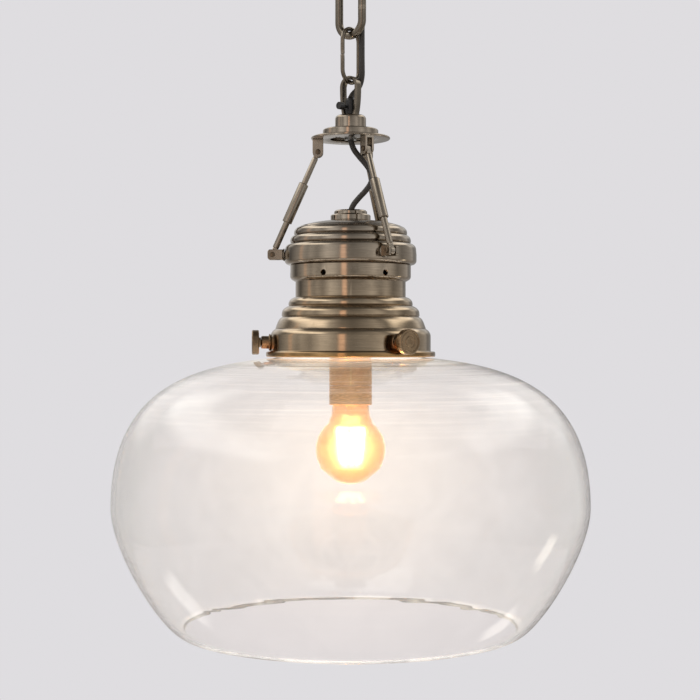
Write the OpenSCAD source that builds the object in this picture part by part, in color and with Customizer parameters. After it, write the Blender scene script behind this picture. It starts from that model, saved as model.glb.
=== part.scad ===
// Chain hung pendant light: blown glass shade, spun metal gallery and three strut hanger.
// The origin is on the ceiling, +Z is up, and everything hangs below it.

/* [Ceiling] */
// Outside radius of the ceiling canopy
canopy_r = 60; // [54:1:70]
// Height of the ceiling canopy
canopy_h = 55; // [50:1:60]
// Distance between the two ceiling screw holes
bracket_pitch = 76; // [72:1:80]
// Radius of a ceiling screw hole
bracket_hole_r = 2.75; // [2.2:0.05:3]

/* [Chain] */
// Bar diameter of a chain link
link_bar = 7; // [6.4:0.1:7.4]
// Outside length of a chain link
link_len = 52; // [50:1:60]
// Outside width of a chain link
link_w = 32; // [30:1:36]
// Bar diameter of the split connector link
connector_bar = 3.6; // [3.4:0.1:4]
// Outside length of the split connector link
connector_len = 50; // [48:1:54]
// Outside width of the split connector link
connector_w = 25; // [24:1:28]

/* [Hanger] */
// Strap thickness of the hanging bow
bow_t = 2.6; // [2.2:0.1:2.8]
// Strap width of the hanging bow
bow_strap = 6.8; // [6:0.1:7]
// Outside width of the hanging bow
bow_w = 18.8; // [18.2:0.1:19]
// Radius of the top plate
plate_r = 34.2; // [34:0.1:38]
// Radius of the circle of upper pins
upper_pin_r = 28.2; // [27.5:0.1:29]
// Radius of the circle of lower pins
lower_pin_r = 67.5; // [67:0.1:69]
// Diameter of the threaded sleeve on a strut
sleeve_d = 8.5; // [8:0.1:9.5]

/* [Metal body] */
// Radius of the big band that carries the struts
band_r = 57; // [56:0.5:58]
// Radius of the vented band
vent_band_r = 52.1; // [51:0.1:53]
// Radius of the plain neck
neck_r = 47.6; // [46.8:0.1:48.2]
// Radius of the collar round the glass neck
collar_r = 69.2; // [69:0.1:70]
// Radius of the flange below the collar
flange_r = 73.1; // [72:0.1:75]
// Wall of the spun metal
spun_wall = 1.5; // [1.2:0.1:1.8]

/* [Glass] */
// Largest radius of the glass shade
shade_r = 205; // [195:1:215]
// Radius of the open rim
rim_r = 145; // [135:1:150]
// Depth of the shade from the flange to the rim
shade_drop = 235; // [230:1:245]
// Wall of the blown glass
glass_wall = 3.5; // [3:0.1:4]
// Radius of the glass neck inside the collar
glass_neck_r = 62; // [61.5:0.1:62.2]

/* [Lamp] */
// Radius of the lampholder
holder_r = 18.5; // [18:0.1:20]
// Radius of the bulb
bulb_r = 30; // [29:0.5:31]

/* [Cord] */
// Diameter of the flexible cord
cord_d = 4.9; // [4.4:0.1:4.9]

/* [Hidden] */
$fn = 64;

// Colours of the materials
brass = [0.56, 0.51, 0.45];
dark_brass = [0.36, 0.29, 0.2];
steel = [0.6, 0.6, 0.6];
black = [0.09, 0.08, 0.08];
white = [0.85, 0.84, 0.8];
clear_glass = [0.86, 0.9, 0.9, 0.3];
amber_glass = [0.95, 0.78, 0.5, 0.4];

// Angle of each link's width, from +X towards the viewer at -Y
canopy_loop_turn = 38;
link_0_turn = -52;
link_1_turn = 38;
connector_turn = -50;
bow_turn = 39;

// Height of each hanging point: the middle of the bar that the next piece hangs on
hang_gap = 0.3;
bow_gap = 1.2;
bow_draw = 2.4;
loop_wire = 6;
loop_drop = 37.2;
hang_0 = -canopy_h - loop_drop;
hang_1 = hang_0 + loop_wire / 2 + hang_gap + link_bar * 1.5 - link_len;
hang_2 = hang_1 + link_bar / 2 + hang_gap + link_bar * 1.5 - link_len;
hang_3 = hang_2 + link_bar / 2 + hang_gap + connector_bar * 1.5 - connector_len;
bow_top = hang_3 + connector_bar / 2 + bow_gap + bow_t;

// Height of the flange's underside, the datum of the metal body
base_z = bow_top - 242.8;
// Heights above that datum
cap_top = 208.9;
cap_bottom = 196.6;
disc_bottom = 190;
plate_bottom = 188;
upper_pin_h = 176.9;
lower_pin_h = 88.4;
dome_top = 117.7;
band_top = 96.9;
band_bottom = 79.6;
vent_band_bottom = 65.8;
neck_bottom = 51.6;
collar_top = 20;
flange_top = 4.8;
screw_h = 12.7;
vent_h = 70.9;
glass_neck_top = 19.6;

// Azimuth of each strut and of each thumbscrew, from +X
arm_left = 180;
arm_front = 300;
arm_back = 60;
arms = [arm_left, arm_front, arm_back];
screw_left = 185;
screw_front = 305;
screw_back = 65;
screws = [screw_left, screw_front, screw_back];

// Each strut leans by this angle, and its pins are this far apart
strut_lean = atan((lower_pin_r - upper_pin_r) / (upper_pin_h - lower_pin_h));
strut_len = norm([lower_pin_r - upper_pin_r, upper_pin_h - lower_pin_h]);
upper_rod_r = 2.55;
lower_rod_r = 2.75;
sleeve_from = 29.7;
sleeve_to = 66.4;
ear_gap = 4.6;
ear_t = 2.3;
upper_ear_t = 1.8;
pin_r = 1.5;

// Threaded tubes
tube_r = 5;
tube_bore_r = 3.2;
tube_hole_r = 5.1;
nut_r = 9.8;
nut_h = 4.4;
screw_r = 2.5;
screw_hole_r = 2.58;

// Cord grip at the foot of the bow
grip_h = 14.8;
grip_r = 4.4;
grip_screw_az = 225;
grip_top = base_z + cap_top + grip_h;

// Routes of the cord, point by point, in millimetres
bushing_x = 24;
bushing_foot = -62;
cord_route_0 = [[24, 0, -62], [23.6, 0.2, -71], [21, 0.6, -82], [16.5, 1, -94], [12.6, 1.4, -109]];
cord_route_1 = [[12.6, 1.4, -109], [10.8, 1.4, -121], [9.9, 1, -133], [9.8, 0.8, -146]];
cord_route_2 = [[9.8, 0.8, -146], [9.8, 0.8, -159], [9.8, 0.8, -172], [9.8, 0.6, -186]];
cord_route_3 = [[9.8, 0.6, -186], [9.9, 0.8, -195], [9.8, 2, -203], [8.2, 4.4, -209.8],
    [4.9, 4.9, -214.9], [1.8, 2.3, -218.8], [0, 0, -222.4]];
lead_route = [[0, 0, -222.4], [0, 0, -230], [0, 0, -240], [0, 0, -250], [0.2, 0, -258],
    [2.6, 0, -266], [7.6, -0.4, -273], [13.2, -0.8, -279.6], [17.4, -1, -286], [18.4, -1, -291],
    [17.2, -1, -296.4], [12.8, -0.6, -302.6], [7, -0.2, -308.8], [2.2, 0, -315], [0, 0, -322],
    [0, 0, -334], [0, 0, -348], [0, 0, -362], [0, 0, -376], [0, 0, -390], [0, 0, -404], [0, 0, -416], [0, 0, -426]];

// Points of an arc, from angle a to angle b
function arc(cx, cz, r, a, b, n = 8) =
    [for (i = [0:n]) let (t = a + (b - a) * i / n) [cx + r * cos(t), cz + r * sin(t)]];

// Points of a cubic curve with end points p0 and p3
function curve(p0, p1, p2, p3, n = 16, first = 0) =
    [for (i = [first:n]) let (t = i / n, s = 1 - t)
        s * s * s * p0 + 3 * s * s * t * p1 + 3 * s * t * t * p2 + t * t * t * p3];

function unit(v) = v / norm(v);

// An open outline moved sideways by d, to its left
function beside(p, d) =
    [for (i = [0:len(p) - 1])
        let (a = p[max(i - 1, 0)], b = p[min(i + 1, len(p) - 1)], t = unit(b - a))
            p[i] + d * [-t[1], t[0]]];

function backwards(p) = [for (i = [len(p) - 1:-1:0]) p[i]];

// Direction of a route at point i
function heading(p, i) = unit(p[min(i + 1, len(p) - 1)] - p[max(i - 1, 0)]);

// A round tube of radius r along a route that never runs along Y
module swept(route, r, sides = 10) {
    n = len(route);
    rings = [for (i = [0:n - 1])
        let (t = i == 0 || i == n - 1 ? [0, 0, -1] : heading(route, i), a = unit(cross([0, 1, 0], t)), b = cross(t, a))
            for (k = [0:sides - 1])
                let (w = 360 * k / sides) route[i] + r * (cos(w) * a + sin(w) * b)];
    walls = [for (i = [0:n - 2], k = [0:sides - 1])
        let (q = (k + 1) % sides, m = i * sides)
            each [[m + k, m + q, m + sides + q], [m + k, m + sides + q, m + sides + k]]];
    caps = [for (k = [1:sides - 2])
        let (m = (n - 1) * sides) each [[0, k + 1, k], [m, m + k, m + k + 1]]];
    polyhedron(rings, concat(walls, caps));
}

// A ring or tube about Z
module tube(r, bore, z0, z1) {
    translate([0, 0, z0])
        difference() {
            cylinder(r = r, h = z1 - z0);
            translate([0, 0, -1])
                cylinder(r = bore, h = z1 - z0 + 2);
        }
}

// A hexagon nut about Z with a round bore
module hex_nut(r, bore, h) {
    difference() {
        intersection() {
            cylinder(r = r, h = h, $fn = 6);
            cylinder(r = r * 0.97, h = h);
        }
        translate([0, 0, -1])
            cylinder(r = bore, h = h + 2);
    }
}

// A closed outline turned about Z at the datum of the metal body
module turned(outline) {
    translate([0, 0, base_z])
        rotate_extrude($fn = 96)
            polygon(outline);
}

// Places a piece at radius 0 and azimuth az, with local X pointing outwards
module at_azimuth(az, h = 0) {
    translate([0, 0, base_z + h])
        rotate([0, 0, az])
            children();
}

// A cylinder along local X, from x0 to x1
module radial(r, x0, x1) {
    translate([x0, 0, 0])
        rotate([0, 90, 0])
            cylinder(r = r, h = x1 - x0);
}

// A cylinder along local Y, centred
module crosswise(r, w) {
    rotate([90, 0, 0])
        cylinder(r = r, h = w, center = true);
}

// Half a ring of round bar, bulging up, in the XZ plane
module half_ring(ring_r, bar_r) {
    rotate([90, 0, 0])
        rotate_extrude(angle = 180)
            translate([ring_r, 0])
                circle(r = bar_r);
}

// An oval link whose lowest bar is centred on the origin
module oval_link(bar, length, width) {
    ring_r = (width - bar) / 2;
    leg = length - width;
    translate([0, 0, ring_r]) {
        for (side = [-1, 1])
            translate([side * ring_r, 0, 0])
                cylinder(r = bar / 2, h = leg);
        translate([0, 0, leg])
            half_ring(ring_r, bar / 2);
        mirror([0, 0, 1])
            half_ring(ring_r, bar / 2);
    }
}

module hung(z, turn) {
    translate([0, 0, z])
        rotate([0, 0, -turn])
            children();
}

// Ceiling bracket: a hat shaped strip, screwed to the ceiling through its two wings
bracket_w = 24;
bracket_t = 2.5;
bracket_drop = 12;
module ceiling_bracket() {
    wing = bracket_pitch / 2 + 10;
    inner = bracket_pitch / 2 - 12;
    color(steel)
        difference() {
            union() {
                for (side = [-1, 1]) {
                    translate([side > 0 ? inner : -wing, -bracket_w / 2, -bracket_t])
                        cube([wing - inner, bracket_w, bracket_t]);
                    translate([side > 0 ? inner : -inner - bracket_t, -bracket_w / 2, -bracket_drop - bracket_t])
                        cube([bracket_t, bracket_w, bracket_drop + bracket_t]);
                }
                translate([-inner - 1, -bracket_w / 2, -bracket_drop - bracket_t])
                    cube([2 * inner + 2, bracket_w, bracket_t]);
            }
            for (side = [-1, 1])
                translate([side * bracket_pitch / 2, 0, -bracket_t - 1])
                    cylinder(r = bracket_hole_r, h = bracket_t + 2);
            translate([0, 0, -bracket_drop - bracket_t - 1])
                cylinder(r = tube_hole_r, h = bracket_t + 2);
        }
}

// Canopy: a spun cup with a rolled rim and a flat foot
module canopy_cup() {
    rim_z = -0.4;
    wall = 1.5;
    side = concat(
        [[canopy_r, rim_z - 3.1], [canopy_r, -18]],
        curve([canopy_r, -18], [canopy_r, -40], [54, -canopy_h], [34, -canopy_h], 12, 1),
        [[tube_hole_r, -canopy_h]]
    );
    rim = [[canopy_r - wall, rim_z], [canopy_r + 1.5, rim_z], [canopy_r + 1.5, rim_z - 2.5]];
    color(brass)
        difference() {
            rotate_extrude($fn = 96)
                polygon(concat(rim, side, backwards(beside(side, -wall))));
            translate([bushing_x, 0, -canopy_h - 1])
                cylinder(r = 4.6, h = 4);
        }
}

// Hollow threaded stem between the bracket and the collar
stem_foot = -canopy_h - 9;
module canopy_stem() {
    color(steel)
        tube(tube_r, tube_bore_r, stem_foot, -4);
}

module stem_nuts() {
    color(steel)
        for (z = [-bracket_drop, -bracket_drop - bracket_t - nut_h])
            translate([0, 0, z])
                hex_nut(nut_r, tube_hole_r, nut_h);
}

// Terminal block inside the canopy, above the bushing
block_z = -30.5;
module terminal_block() {
    color(white)
        difference() {
            translate([17, -14, block_z])
                cube([14, 28, 16]);
            for (y = [-9, 0, 9])
                translate([bushing_x, y, block_z - 1])
                    cylinder(r = 2.6, h = 9);
            for (y = [-9, 0, 9])
                translate([30, y, block_z + 9])
                    rotate([0, 90, 0])
                        cylinder(r = 1.8, h = 3);
        }
}

// Bushing that holds the cord where it leaves the canopy
module cord_bushing() {
    color(black)
        translate([bushing_x, 0, 0])
            rotate_extrude()
                polygon([
                    [2.6, bushing_foot], [3.8, bushing_foot], [5, -canopy_h - 1.8], [7, -canopy_h - 1.2],
                    [7, -canopy_h - 0.05], [4.4, -canopy_h - 0.05], [4.4, -canopy_h + 1.6],
                    [7, -canopy_h + 1.6], [7, -canopy_h + 4.6], [2.6, -canopy_h + 4.6]
                ]);
}

// Cord inside the canopy, from the bushing up into the terminal block
module canopy_lead() {
    color(black)
        translate([bushing_x, 0, bushing_foot])
            cylinder(r = cord_d / 2, h = block_z + 6 - bushing_foot);
}

// Collar that is screwed on to the stem and holds the canopy up
collar_h = 12;
module canopy_collar() {
    color(brass)
        translate([0, 0, -canopy_h])
            rotate_extrude()
                polygon(concat(
                    [[tube_hole_r, -0.05], [13, -0.05], [13, -2]],
                    arc(11.5, -collar_h + 1.5, 1.5, 0, -90, 5),
                    [[0, -collar_h], [0, -collar_h + 2], [tube_hole_r, -collar_h + 2]]
                ));
}

// Loop below the canopy, a round wire bent to a U with its legs in the collar
module canopy_loop() {
    ring_r = 9;
    top = -canopy_h - collar_h;
    color(brass)
        hung(hang_0, canopy_loop_turn)
            translate([0, 0, ring_r]) {
                for (side = [-1, 1])
                    translate([side * ring_r, 0, 0])
                        cylinder(r = loop_wire / 2, h = top - hang_0 - ring_r);
                mirror([0, 0, 1])
                    half_ring(ring_r, loop_wire / 2);
            }
}

module chain_link_0() {
    color(brass)
        hung(hang_1, link_0_turn)
            oval_link(link_bar, link_len, link_w);
}

module chain_link_1() {
    color(brass)
        hung(hang_2, link_1_turn)
            oval_link(link_bar, link_len, link_w);
}

// Connector link: thinner, and split half way up its left leg
module connector_link() {
    split = 0.7;
    color(brass)
        hung(hang_3, connector_turn)
            difference() {
                oval_link(connector_bar, connector_len, connector_w);
                translate([-connector_w, -connector_bar, (connector_len - connector_bar) / 2])
                    cube([connector_w, 2 * connector_bar, split]);
            }
}

module chain_cord(route) {
    color(black)
        swept(route, cord_d / 2);
}

// Outline of the bow, or of the hole in it: a round top, and legs that draw in towards the foot
module bow_outline(r, leg) {
    side = curve([r, leg], [r, leg / 2], [r - bow_draw / 2, leg / 4], [r - bow_draw, 0], 8);
    polygon(concat(side, [for (i = [len(side) - 1:-1:0]) [-side[i][0], side[i][1]]]));
    translate([0, leg])
        circle(r = r);
}

// Bow: an arch of flat strap that stands on the hub cap
module hanging_bow() {
    foot = base_z + cap_top;
    leg = bow_top - bow_w / 2 - foot;
    color(brass)
        hung(foot, bow_turn)
            rotate([90, 0, 0])
                linear_extrude(bow_strap, center = true)
                    difference() {
                        bow_outline(bow_w / 2, leg);
                        bow_outline(bow_w / 2 - bow_t, leg);
                        translate([bow_draw + bow_t - bow_w / 2, -1])
                            square([bow_w - 2 * (bow_draw + bow_t), 2]);
                    }
}

// Cord grip: a plastic gland screwed into the top of the hub cap
module cord_grip() {
    color(black)
        translate([0, 0, base_z + cap_top])
            difference() {
                rotate_extrude()
                    polygon([
                        [2.6, 0], [grip_r, 0], [grip_r, grip_h - 2], [3.2, grip_h], [2.6, grip_h]
                    ]);
                translate([0, 0, 7])
                    rotate([0, 0, grip_screw_az])
                        radial(1.35, 2, 5);
            }
}

module grip_screw() {
    color(black)
        at_azimuth(grip_screw_az, cap_top + 7) {
            radial(1.25, 2.65, 9.4);
            radial(3.2, 9.4, 14.6);
        }
}

module hub_cap() {
    r = 13.4;
    round_r = 3.2;
    color(brass)
        turned(concat(
            [[tube_hole_r, cap_bottom], [r, cap_bottom], [r, cap_top - round_r]],
            arc(r - round_r, cap_top - round_r, round_r, 0, 90, 8),
            [[tube_hole_r, cap_top]]
        ));
}

// Hub disc: a shallow cup turned over, standing on the top plate
module hub_disc() {
    r = 24;
    color(brass)
        turned([
            [tube_hole_r, cap_bottom - 2], [r - 1.8, cap_bottom - 2], [r - 1.8, disc_bottom], [r, disc_bottom],
            [r, cap_bottom - 0.8], [r - 0.8, cap_bottom], [tube_hole_r, cap_bottom]
        ]);
}

module hub_nipple() {
    color(steel)
        tube(tube_r, tube_bore_r, base_z + cap_bottom - 9, base_z + cap_top);
}

// Top plate: a ring with three small holes, which carries the upper clevises
module top_plate() {
    color(brass)
        difference() {
            turned([
                [17.5, plate_bottom], [plate_r - 0.6, plate_bottom], [plate_r, plate_bottom + 0.6],
                [plate_r, disc_bottom - 0.6], [plate_r - 0.6, disc_bottom], [17.5, disc_bottom]
            ]);
            for (az = [-8, 112, 232])
                at_azimuth(az, plate_bottom - 1)
                    translate([20, 0, 0])
                        cylinder(r = 1.3, h = 4);
        }
}

// Upper clevis: two ears below the plate and a narrower web between them
module upper_clevis() {
    ear_t = upper_ear_t;
    ear_w = 10.6;
    inner_x = upper_pin_r - 4.6;
    foot_r = 4.6;
    top = plate_bottom - upper_pin_h;
    difference() {
        union() {
            for (side = [-1, 1])
                translate([0, side * (ear_gap + ear_t) / 2, 0]) {
                    translate([upper_pin_r, 0, 0])
                        crosswise(foot_r, ear_t);
                    translate([inner_x, -ear_t / 2, 0])
                        cube([ear_w, ear_t, top]);
                }
            translate([inner_x, -ear_gap / 2 - 1, top - 6.5])
                cube([3, ear_gap + 2, 6.5]);
            translate([inner_x, -ear_gap / 2 - 1, top - 2])
                cube([ear_w, ear_gap + 2, 2]);
        }
        translate([upper_pin_r, 0, 0])
            crosswise(pin_r + 0.05, 20);
    }
}

module upper_clevises() {
    color(brass)
        for (az = arms)
            at_azimuth(az, upper_pin_h)
                upper_clevis();
}

// A pin with a low head at each end, along local Y
module headed_pin(x, ear) {
    half_w = ear_gap / 2 + ear;
    translate([x, 0, 0]) {
        crosswise(pin_r, 2 * half_w + 0.1);
        for (side = [-1, 1])
            translate([0, side * (half_w + 0.65), 0])
                crosswise(2.3, 1.2);
    }
}

module upper_pins() {
    color(dark_brass)
        for (az = arms)
            at_azimuth(az, upper_pin_h)
                headed_pin(upper_pin_r, upper_ear_t);
}

module lower_pins() {
    color(dark_brass)
        for (az = arms)
            at_azimuth(az, lower_pin_h)
                headed_pin(lower_pin_r, ear_t);
}

// Places a piece on a strut: local -Z runs from the upper pin to the lower pin
module on_strut(az) {
    at_azimuth(az, upper_pin_h)
        translate([upper_pin_r, 0, 0])
            rotate([0, -strut_lean, 0])
                children();
}

// A strut rod with a flat eye at the origin, a neck and its shank down to -length
module strut_rod(r, length, neck) {
    eye_r = 3.4;
    eye_t = 4.2;
    difference() {
        union() {
            crosswise(eye_r, eye_t);
            translate([-2.1, -eye_t / 2, -neck - 0.5])
                cube([4.2, eye_t, neck + 0.5]);
            translate([0, 0, -length])
                cylinder(r = r, h = length - neck);
        }
        crosswise(pin_r + 0.05, 20);
    }
}

module upper_rod(az) {
    color(brass)
        on_strut(az)
            strut_rod(upper_rod_r, 46, 5);
}

module lower_rod(az) {
    color(brass)
        on_strut(az)
            translate([0, 0, -strut_len])
                rotate([180, 0, 0])
                    strut_rod(lower_rod_r, strut_len - 50, 6);
}

// Threaded sleeve that joins a strut's two rods
module sleeve(az) {
    r = sleeve_d / 2;
    color(brass)
        on_strut(az)
            rotate_extrude()
                polygon([
                    [upper_rod_r + 0.08, -sleeve_from], [r - 0.5, -sleeve_from], [r, -sleeve_from - 0.5],
                    [r, -sleeve_to + 0.5], [r - 0.5, -sleeve_to], [lower_rod_r + 0.08, -sleeve_to],
                    [lower_rod_r + 0.08, -48], [upper_rod_r + 0.08, -48]
                ]);
}

// Lower clevis: two ears, a web, a round pad and a stud that goes through the big band
module lower_clevis() {
    ear_h = 8.8;
    ear_end = 71.6;
    ear_root = 58.6;
    round_r = 2.2;
    difference() {
        union() {
            for (side = [-1, 1])
                translate([0, side * (ear_gap + ear_t) / 2, 0])
                    rotate([90, 0, 0])
                        linear_extrude(ear_t, center = true)
                            polygon(concat(
                                [[ear_root, -ear_h / 2]],
                                arc(ear_end - round_r, -ear_h / 2 + round_r, round_r, -90, 0, 5),
                                arc(ear_end - round_r, ear_h / 2 - round_r, round_r, 0, 90, 5),
                                [[ear_root, ear_h / 2]]
                            ));
            translate([ear_root, -ear_gap / 2 - 1, -ear_h / 2])
                cube([2.2, ear_gap + 2, ear_h]);
            radial(5.4, band_r + 0.1, ear_root + 0.5);
            radial(2, band_r - 6, ear_root + 0.5);
        }
        translate([lower_pin_r, 0, 0])
            crosswise(pin_r + 0.05, 20);
    }
}

module lower_clevises() {
    color(brass)
        for (az = arms)
            at_azimuth(az, lower_pin_h)
                lower_clevis();
}

module clevis_nuts() {
    color(steel)
        for (az = arms)
            at_azimuth(az, lower_pin_h)
                translate([band_r - spun_wall - 3.4, 0, 0])
                    rotate([0, 90, 0])
                        hex_nut(3.4, 2.05, 3);
}

module lead_cord() {
    color(black)
        swept(lead_route, cord_d / 2);
}

// Cord nut on the crown: a lower ring and a smaller upper ring in one turned piece
module cord_nut() {
    color(brass)
        turned([
            [tube_hole_r, dome_top], [16.9, dome_top], [17.3, dome_top + 0.4], [17.3, dome_top + 4.4],
            [16.5, dome_top + 5.2], [14.3, dome_top + 5.4], [14.3, dome_top + 7.9], [13, dome_top + 9.1],
            [3.1, dome_top + 9.1], [3.1, dome_top + 7], [tube_hole_r, dome_top + 7]
        ]);
}

// Crown: dome, two beads and the big band, spun in one piece
module crown() {
    w = spun_wall;
    outer = concat(
        [[tube_hole_r, dome_top - 0.05], [17.3, dome_top - 0.05]],
        curve([17.3, dome_top - 0.05], [26, dome_top - 0.6], [35, dome_top - 1.9], [43.4, 112.95], 8, 1),
        [[43.9, 112.2]],
        curve([45, 112.1], [46.8, 111.6], [48.9, 109.8], [48.9, 106.8], 6),
        arc(47.2, 106.5, 1.7, 0, -75, 4),
        curve([48.9, 104.7], [50.4, 104.4], [52.1, 102.6], [52.1, 99.9], 6),
        arc(50.4, 99.4, 1.7, 0, -75, 4),
        curve([52.6, band_top + 0.4], [54.6, band_top + 0.1], [56.4, band_top - 1.3], [56.6, band_top - 4.3], 6),
        [[band_r, band_top - 8.5]],
        arc(band_r - 3.6, band_bottom + 3.6, 3.6, 0, -90, 6),
        [[40, band_bottom]]
    );
    inner = [
        [40, band_bottom + w], [band_r - 4, band_bottom + w], [band_r - w, band_bottom + 5],
        [band_r - w, band_top - 5], [50.2, band_top - 0.7], [49.2, band_top + 0.5], [50.2, 100.4],
        [48.2, 102.9], [46.1, 104.3], [47, 107.2], [45.6, 109.6], [42.4, 111.3], [35.6, dome_top - 4],
        [17.3, dome_top - w], [tube_hole_r, dome_top - w]
    ];
    color(brass)
        difference() {
            turned(concat(outer, inner));
            for (az = arms)
                at_azimuth(az, lower_pin_h)
                    radial(2.1, band_r - 6, band_r + 2);
        }
}

// Vented band above a plain neck
module vent_collar() {
    w = spun_wall;
    top = band_bottom - 0.05;
    outer = concat(
        [[neck_r, neck_bottom]],
        curve([neck_r, vent_band_bottom - 0.9], [neck_r + 1.8, vent_band_bottom + 0.1],
            [vent_band_r, vent_band_bottom + 1.1], [vent_band_r, vent_band_bottom + 3.4], 6),
        [[vent_band_r, top - 0.8], [vent_band_r - 0.8, top], [40, top]]
    );
    inner = [
        [40, top - w], [vent_band_r - w, top - w], [vent_band_r - w, vent_band_bottom + 3.4],
        [neck_r - w, vent_band_bottom + 1.4], [neck_r - w, neck_bottom + w], [40, neck_bottom + w],
        [40, neck_bottom]
    ];
    color(brass)
        difference() {
            turned(concat(outer, inner));
            for (i = [0:5])
                at_azimuth(4 + 60 * i, vent_h)
                    radial(2.6, 40, 60);
        }
}

// Fitter: three stepped beads, the collar round the glass neck, and the flange
module fitter() {
    top = neck_bottom - 0.05;
    outer = concat(
        [[40, top]],
        curve([48, top], [50.8, 51], [53.6, 49], [53.7, 45.6], 6),
        arc(52.2, 45.2, 1.5, 0, -70, 4),
        curve([54.3, 43.75], [57.2, 42.4], [59.4, 40.6], [59.5, 37.6], 6),
        [[59.6, 35.6], [58.9, 34.7]],
        curve([60, 34], [62, 32.8], [63, 30.2], [64, 27.4], 6),
        [[65, 24.6], [64.9, 24]],
        curve([65.4, 24], [67.2, 23], [collar_r, 20.6], [collar_r, 17.6], 6),
        [[collar_r, flange_top + 0.6], [collar_r + 0.6, flange_top]],
        arc(flange_r - 1.4, flange_top - 1.4, 1.4, 90, 0, 4),
        arc(flange_r - 1.4, 1.4, 1.4, 0, -90, 4),
        [[67.4, 0]]
    );
    inner = [
        [67.4, collar_top - 1], [66, 21], [62, 23.6], [60.6, 31], [57, 34], [56.8, 40], [51.2, 42.6],
        [51.6, 47.5], [49.2, 49.85], [40, 49.85]
    ];
    color(brass)
        difference() {
            turned(concat(outer, inner));
            for (az = screws)
                at_azimuth(az, screw_h)
                    radial(screw_hole_r, 60, 75);
        }
}

// Three armed spider under the fitter, which clamps the spun pieces together
spider_h = 46.8;
module spider_plate() {
    color(steel)
        translate([0, 0, base_z + spider_h])
            difference() {
                union() {
                    tube(46, 40.5, 0, 3);
                    cylinder(r = 13, h = 3);
                    for (az = arms)
                        rotate([0, 0, az])
                            translate([8, -5, 0])
                                cube([34, 10, 3]);
                }
                translate([0, 0, -1])
                    cylinder(r = tube_hole_r, h = 5);
            }
}

module main_nipple() {
    color(steel)
        tube(tube_r, tube_bore_r, base_z + 26, base_z + dome_top + 6.8);
}

// Nuts on the two threaded tubes: under the hub disc, under the crown and under the spider
module pendant_nuts() {
    color(steel)
        for (h = [cap_bottom - 2.05 - nut_h, dome_top - spun_wall - 0.1 - nut_h, spider_h - 0.05 - nut_h])
            translate([0, 0, base_z + h])
                hex_nut(nut_r, tube_hole_r, nut_h);
}

// Boss nuts on the collar, one for each thumbscrew
module boss_nuts() {
    color(dark_brass)
        for (az = screws)
            at_azimuth(az, screw_h)
                difference() {
                    union() {
                        radial(7.2, collar_r + 0.05, collar_r + 1.4);
                        radial(5.5, collar_r + 0.05, 76.4);
                        radial(4.9, collar_r + 0.05, 77.2);
                    }
                    radial(screw_hole_r, 60, 80);
                }
}

// Thumbscrew: a shank that presses on the glass neck and a round turned head
module thumbscrew(az) {
    tip = glass_neck_r + 0.35;
    color(dark_brass)
        at_azimuth(az, screw_h)
            rotate([0, 90, 0])
                rotate_extrude()
                    polygon([
                        [0, tip], [1.8, tip], [screw_r, tip + 0.7], [screw_r, 77.5], [4.2, 77.5], [4.2, 79.2],
                        [10, 79.2], [10.65, 79.8], [10.65, 84.5], [10, 85.1], [9, 85.1], [8.6, 84.8], [8.2, 84.8],
                        [7.8, 85.1], [5.2, 85.1], [4.9, 84.8], [4.5, 84.8], [4.2, 85.1], [0, 85.1]
                    ]);
}

// Glass shade: one smooth outline, from the lip inside the collar down to the open rim
module glass_shade() {
    belly = -shade_drop * 0.54;
    fillet = 4.2;
    upper = [[glass_neck_r + 8, -0.9], [139, -8], [shade_r, -28], [shade_r, belly]];
    lower = [[shade_r, belly], [shade_r, belly - 38], [rim_r + 15, -shade_drop], [rim_r, -shade_drop]];
    outer = concat(
        [[glass_neck_r + 2.4, glass_neck_top], [glass_neck_r + 3.2, glass_neck_top - 1.6]],
        [[glass_neck_r + 2.4, glass_neck_top - 3.2], [glass_neck_r, glass_neck_top - 4.2]],
        arc(glass_neck_r + fillet, -0.7 + fillet, fillet, 180, 265, 6),
        curve(upper[0], upper[1], upper[2], upper[3], 22),
        curve(lower[0], lower[1], lower[2], lower[3], 18, 1)
    );
    wall_line = concat(
        [[glass_neck_r, glass_neck_top], [glass_neck_r, glass_neck_top - 5]],
        [for (i = [4:len(outer) - 1]) outer[i]]
    );
    inner = beside(wall_line, -glass_wall);
    color(clear_glass)
        turned(concat(outer, arc(rim_r, -shade_drop + glass_wall / 2, glass_wall / 2, 240, 120, 5), backwards(inner)));
}

// Lampholder: cap, barrel, skirt ring, ceramic core and screw thread
holder_top = 34;
barrel_top = 22;
ring_top = -22;
holder_foot = -38.9;
module holder_cap() {
    color(brass)
        turned(concat(
            [[tube_hole_r, holder_top], [8.5, holder_top], [8.5, holder_top - 5]],
            arc(holder_r - 5, barrel_top + 0.05, 5, 62, 0, 6),
            [[holder_r - 1.2, barrel_top + 0.05], [8, holder_top - 7.4], [tube_hole_r, holder_top - 7.4]]
        ));
}

module holder_barrel() {
    color(brass)
        tube(holder_r, holder_r - 1.2, base_z + ring_top + 0.4, base_z + barrel_top);
}

module holder_ring() {
    color(brass)
        turned(concat(
            [[holder_r - 1.2, ring_top], [holder_r - 0.3, ring_top], [holder_r, ring_top - 0.4]],
            arc(holder_r - 0.8, holder_foot + 0.8, 0.8, 0, -90, 3),
            [[16.9, holder_foot], [16.9, holder_foot + 1.2], [holder_r - 1.2, holder_foot + 2.4]]
        ));
}

module holder_core() {
    color(white)
        difference() {
            translate([0, 0, base_z - 1.4])
                cylinder(r = holder_r - 1.25, h = 20);
            translate([0, 0, base_z - 2])
                cylinder(r = 4, h = 3.2);
            translate([0, 0, base_z + 10])
                cylinder(r = 3.2, h = 12);
        }
}

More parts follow.
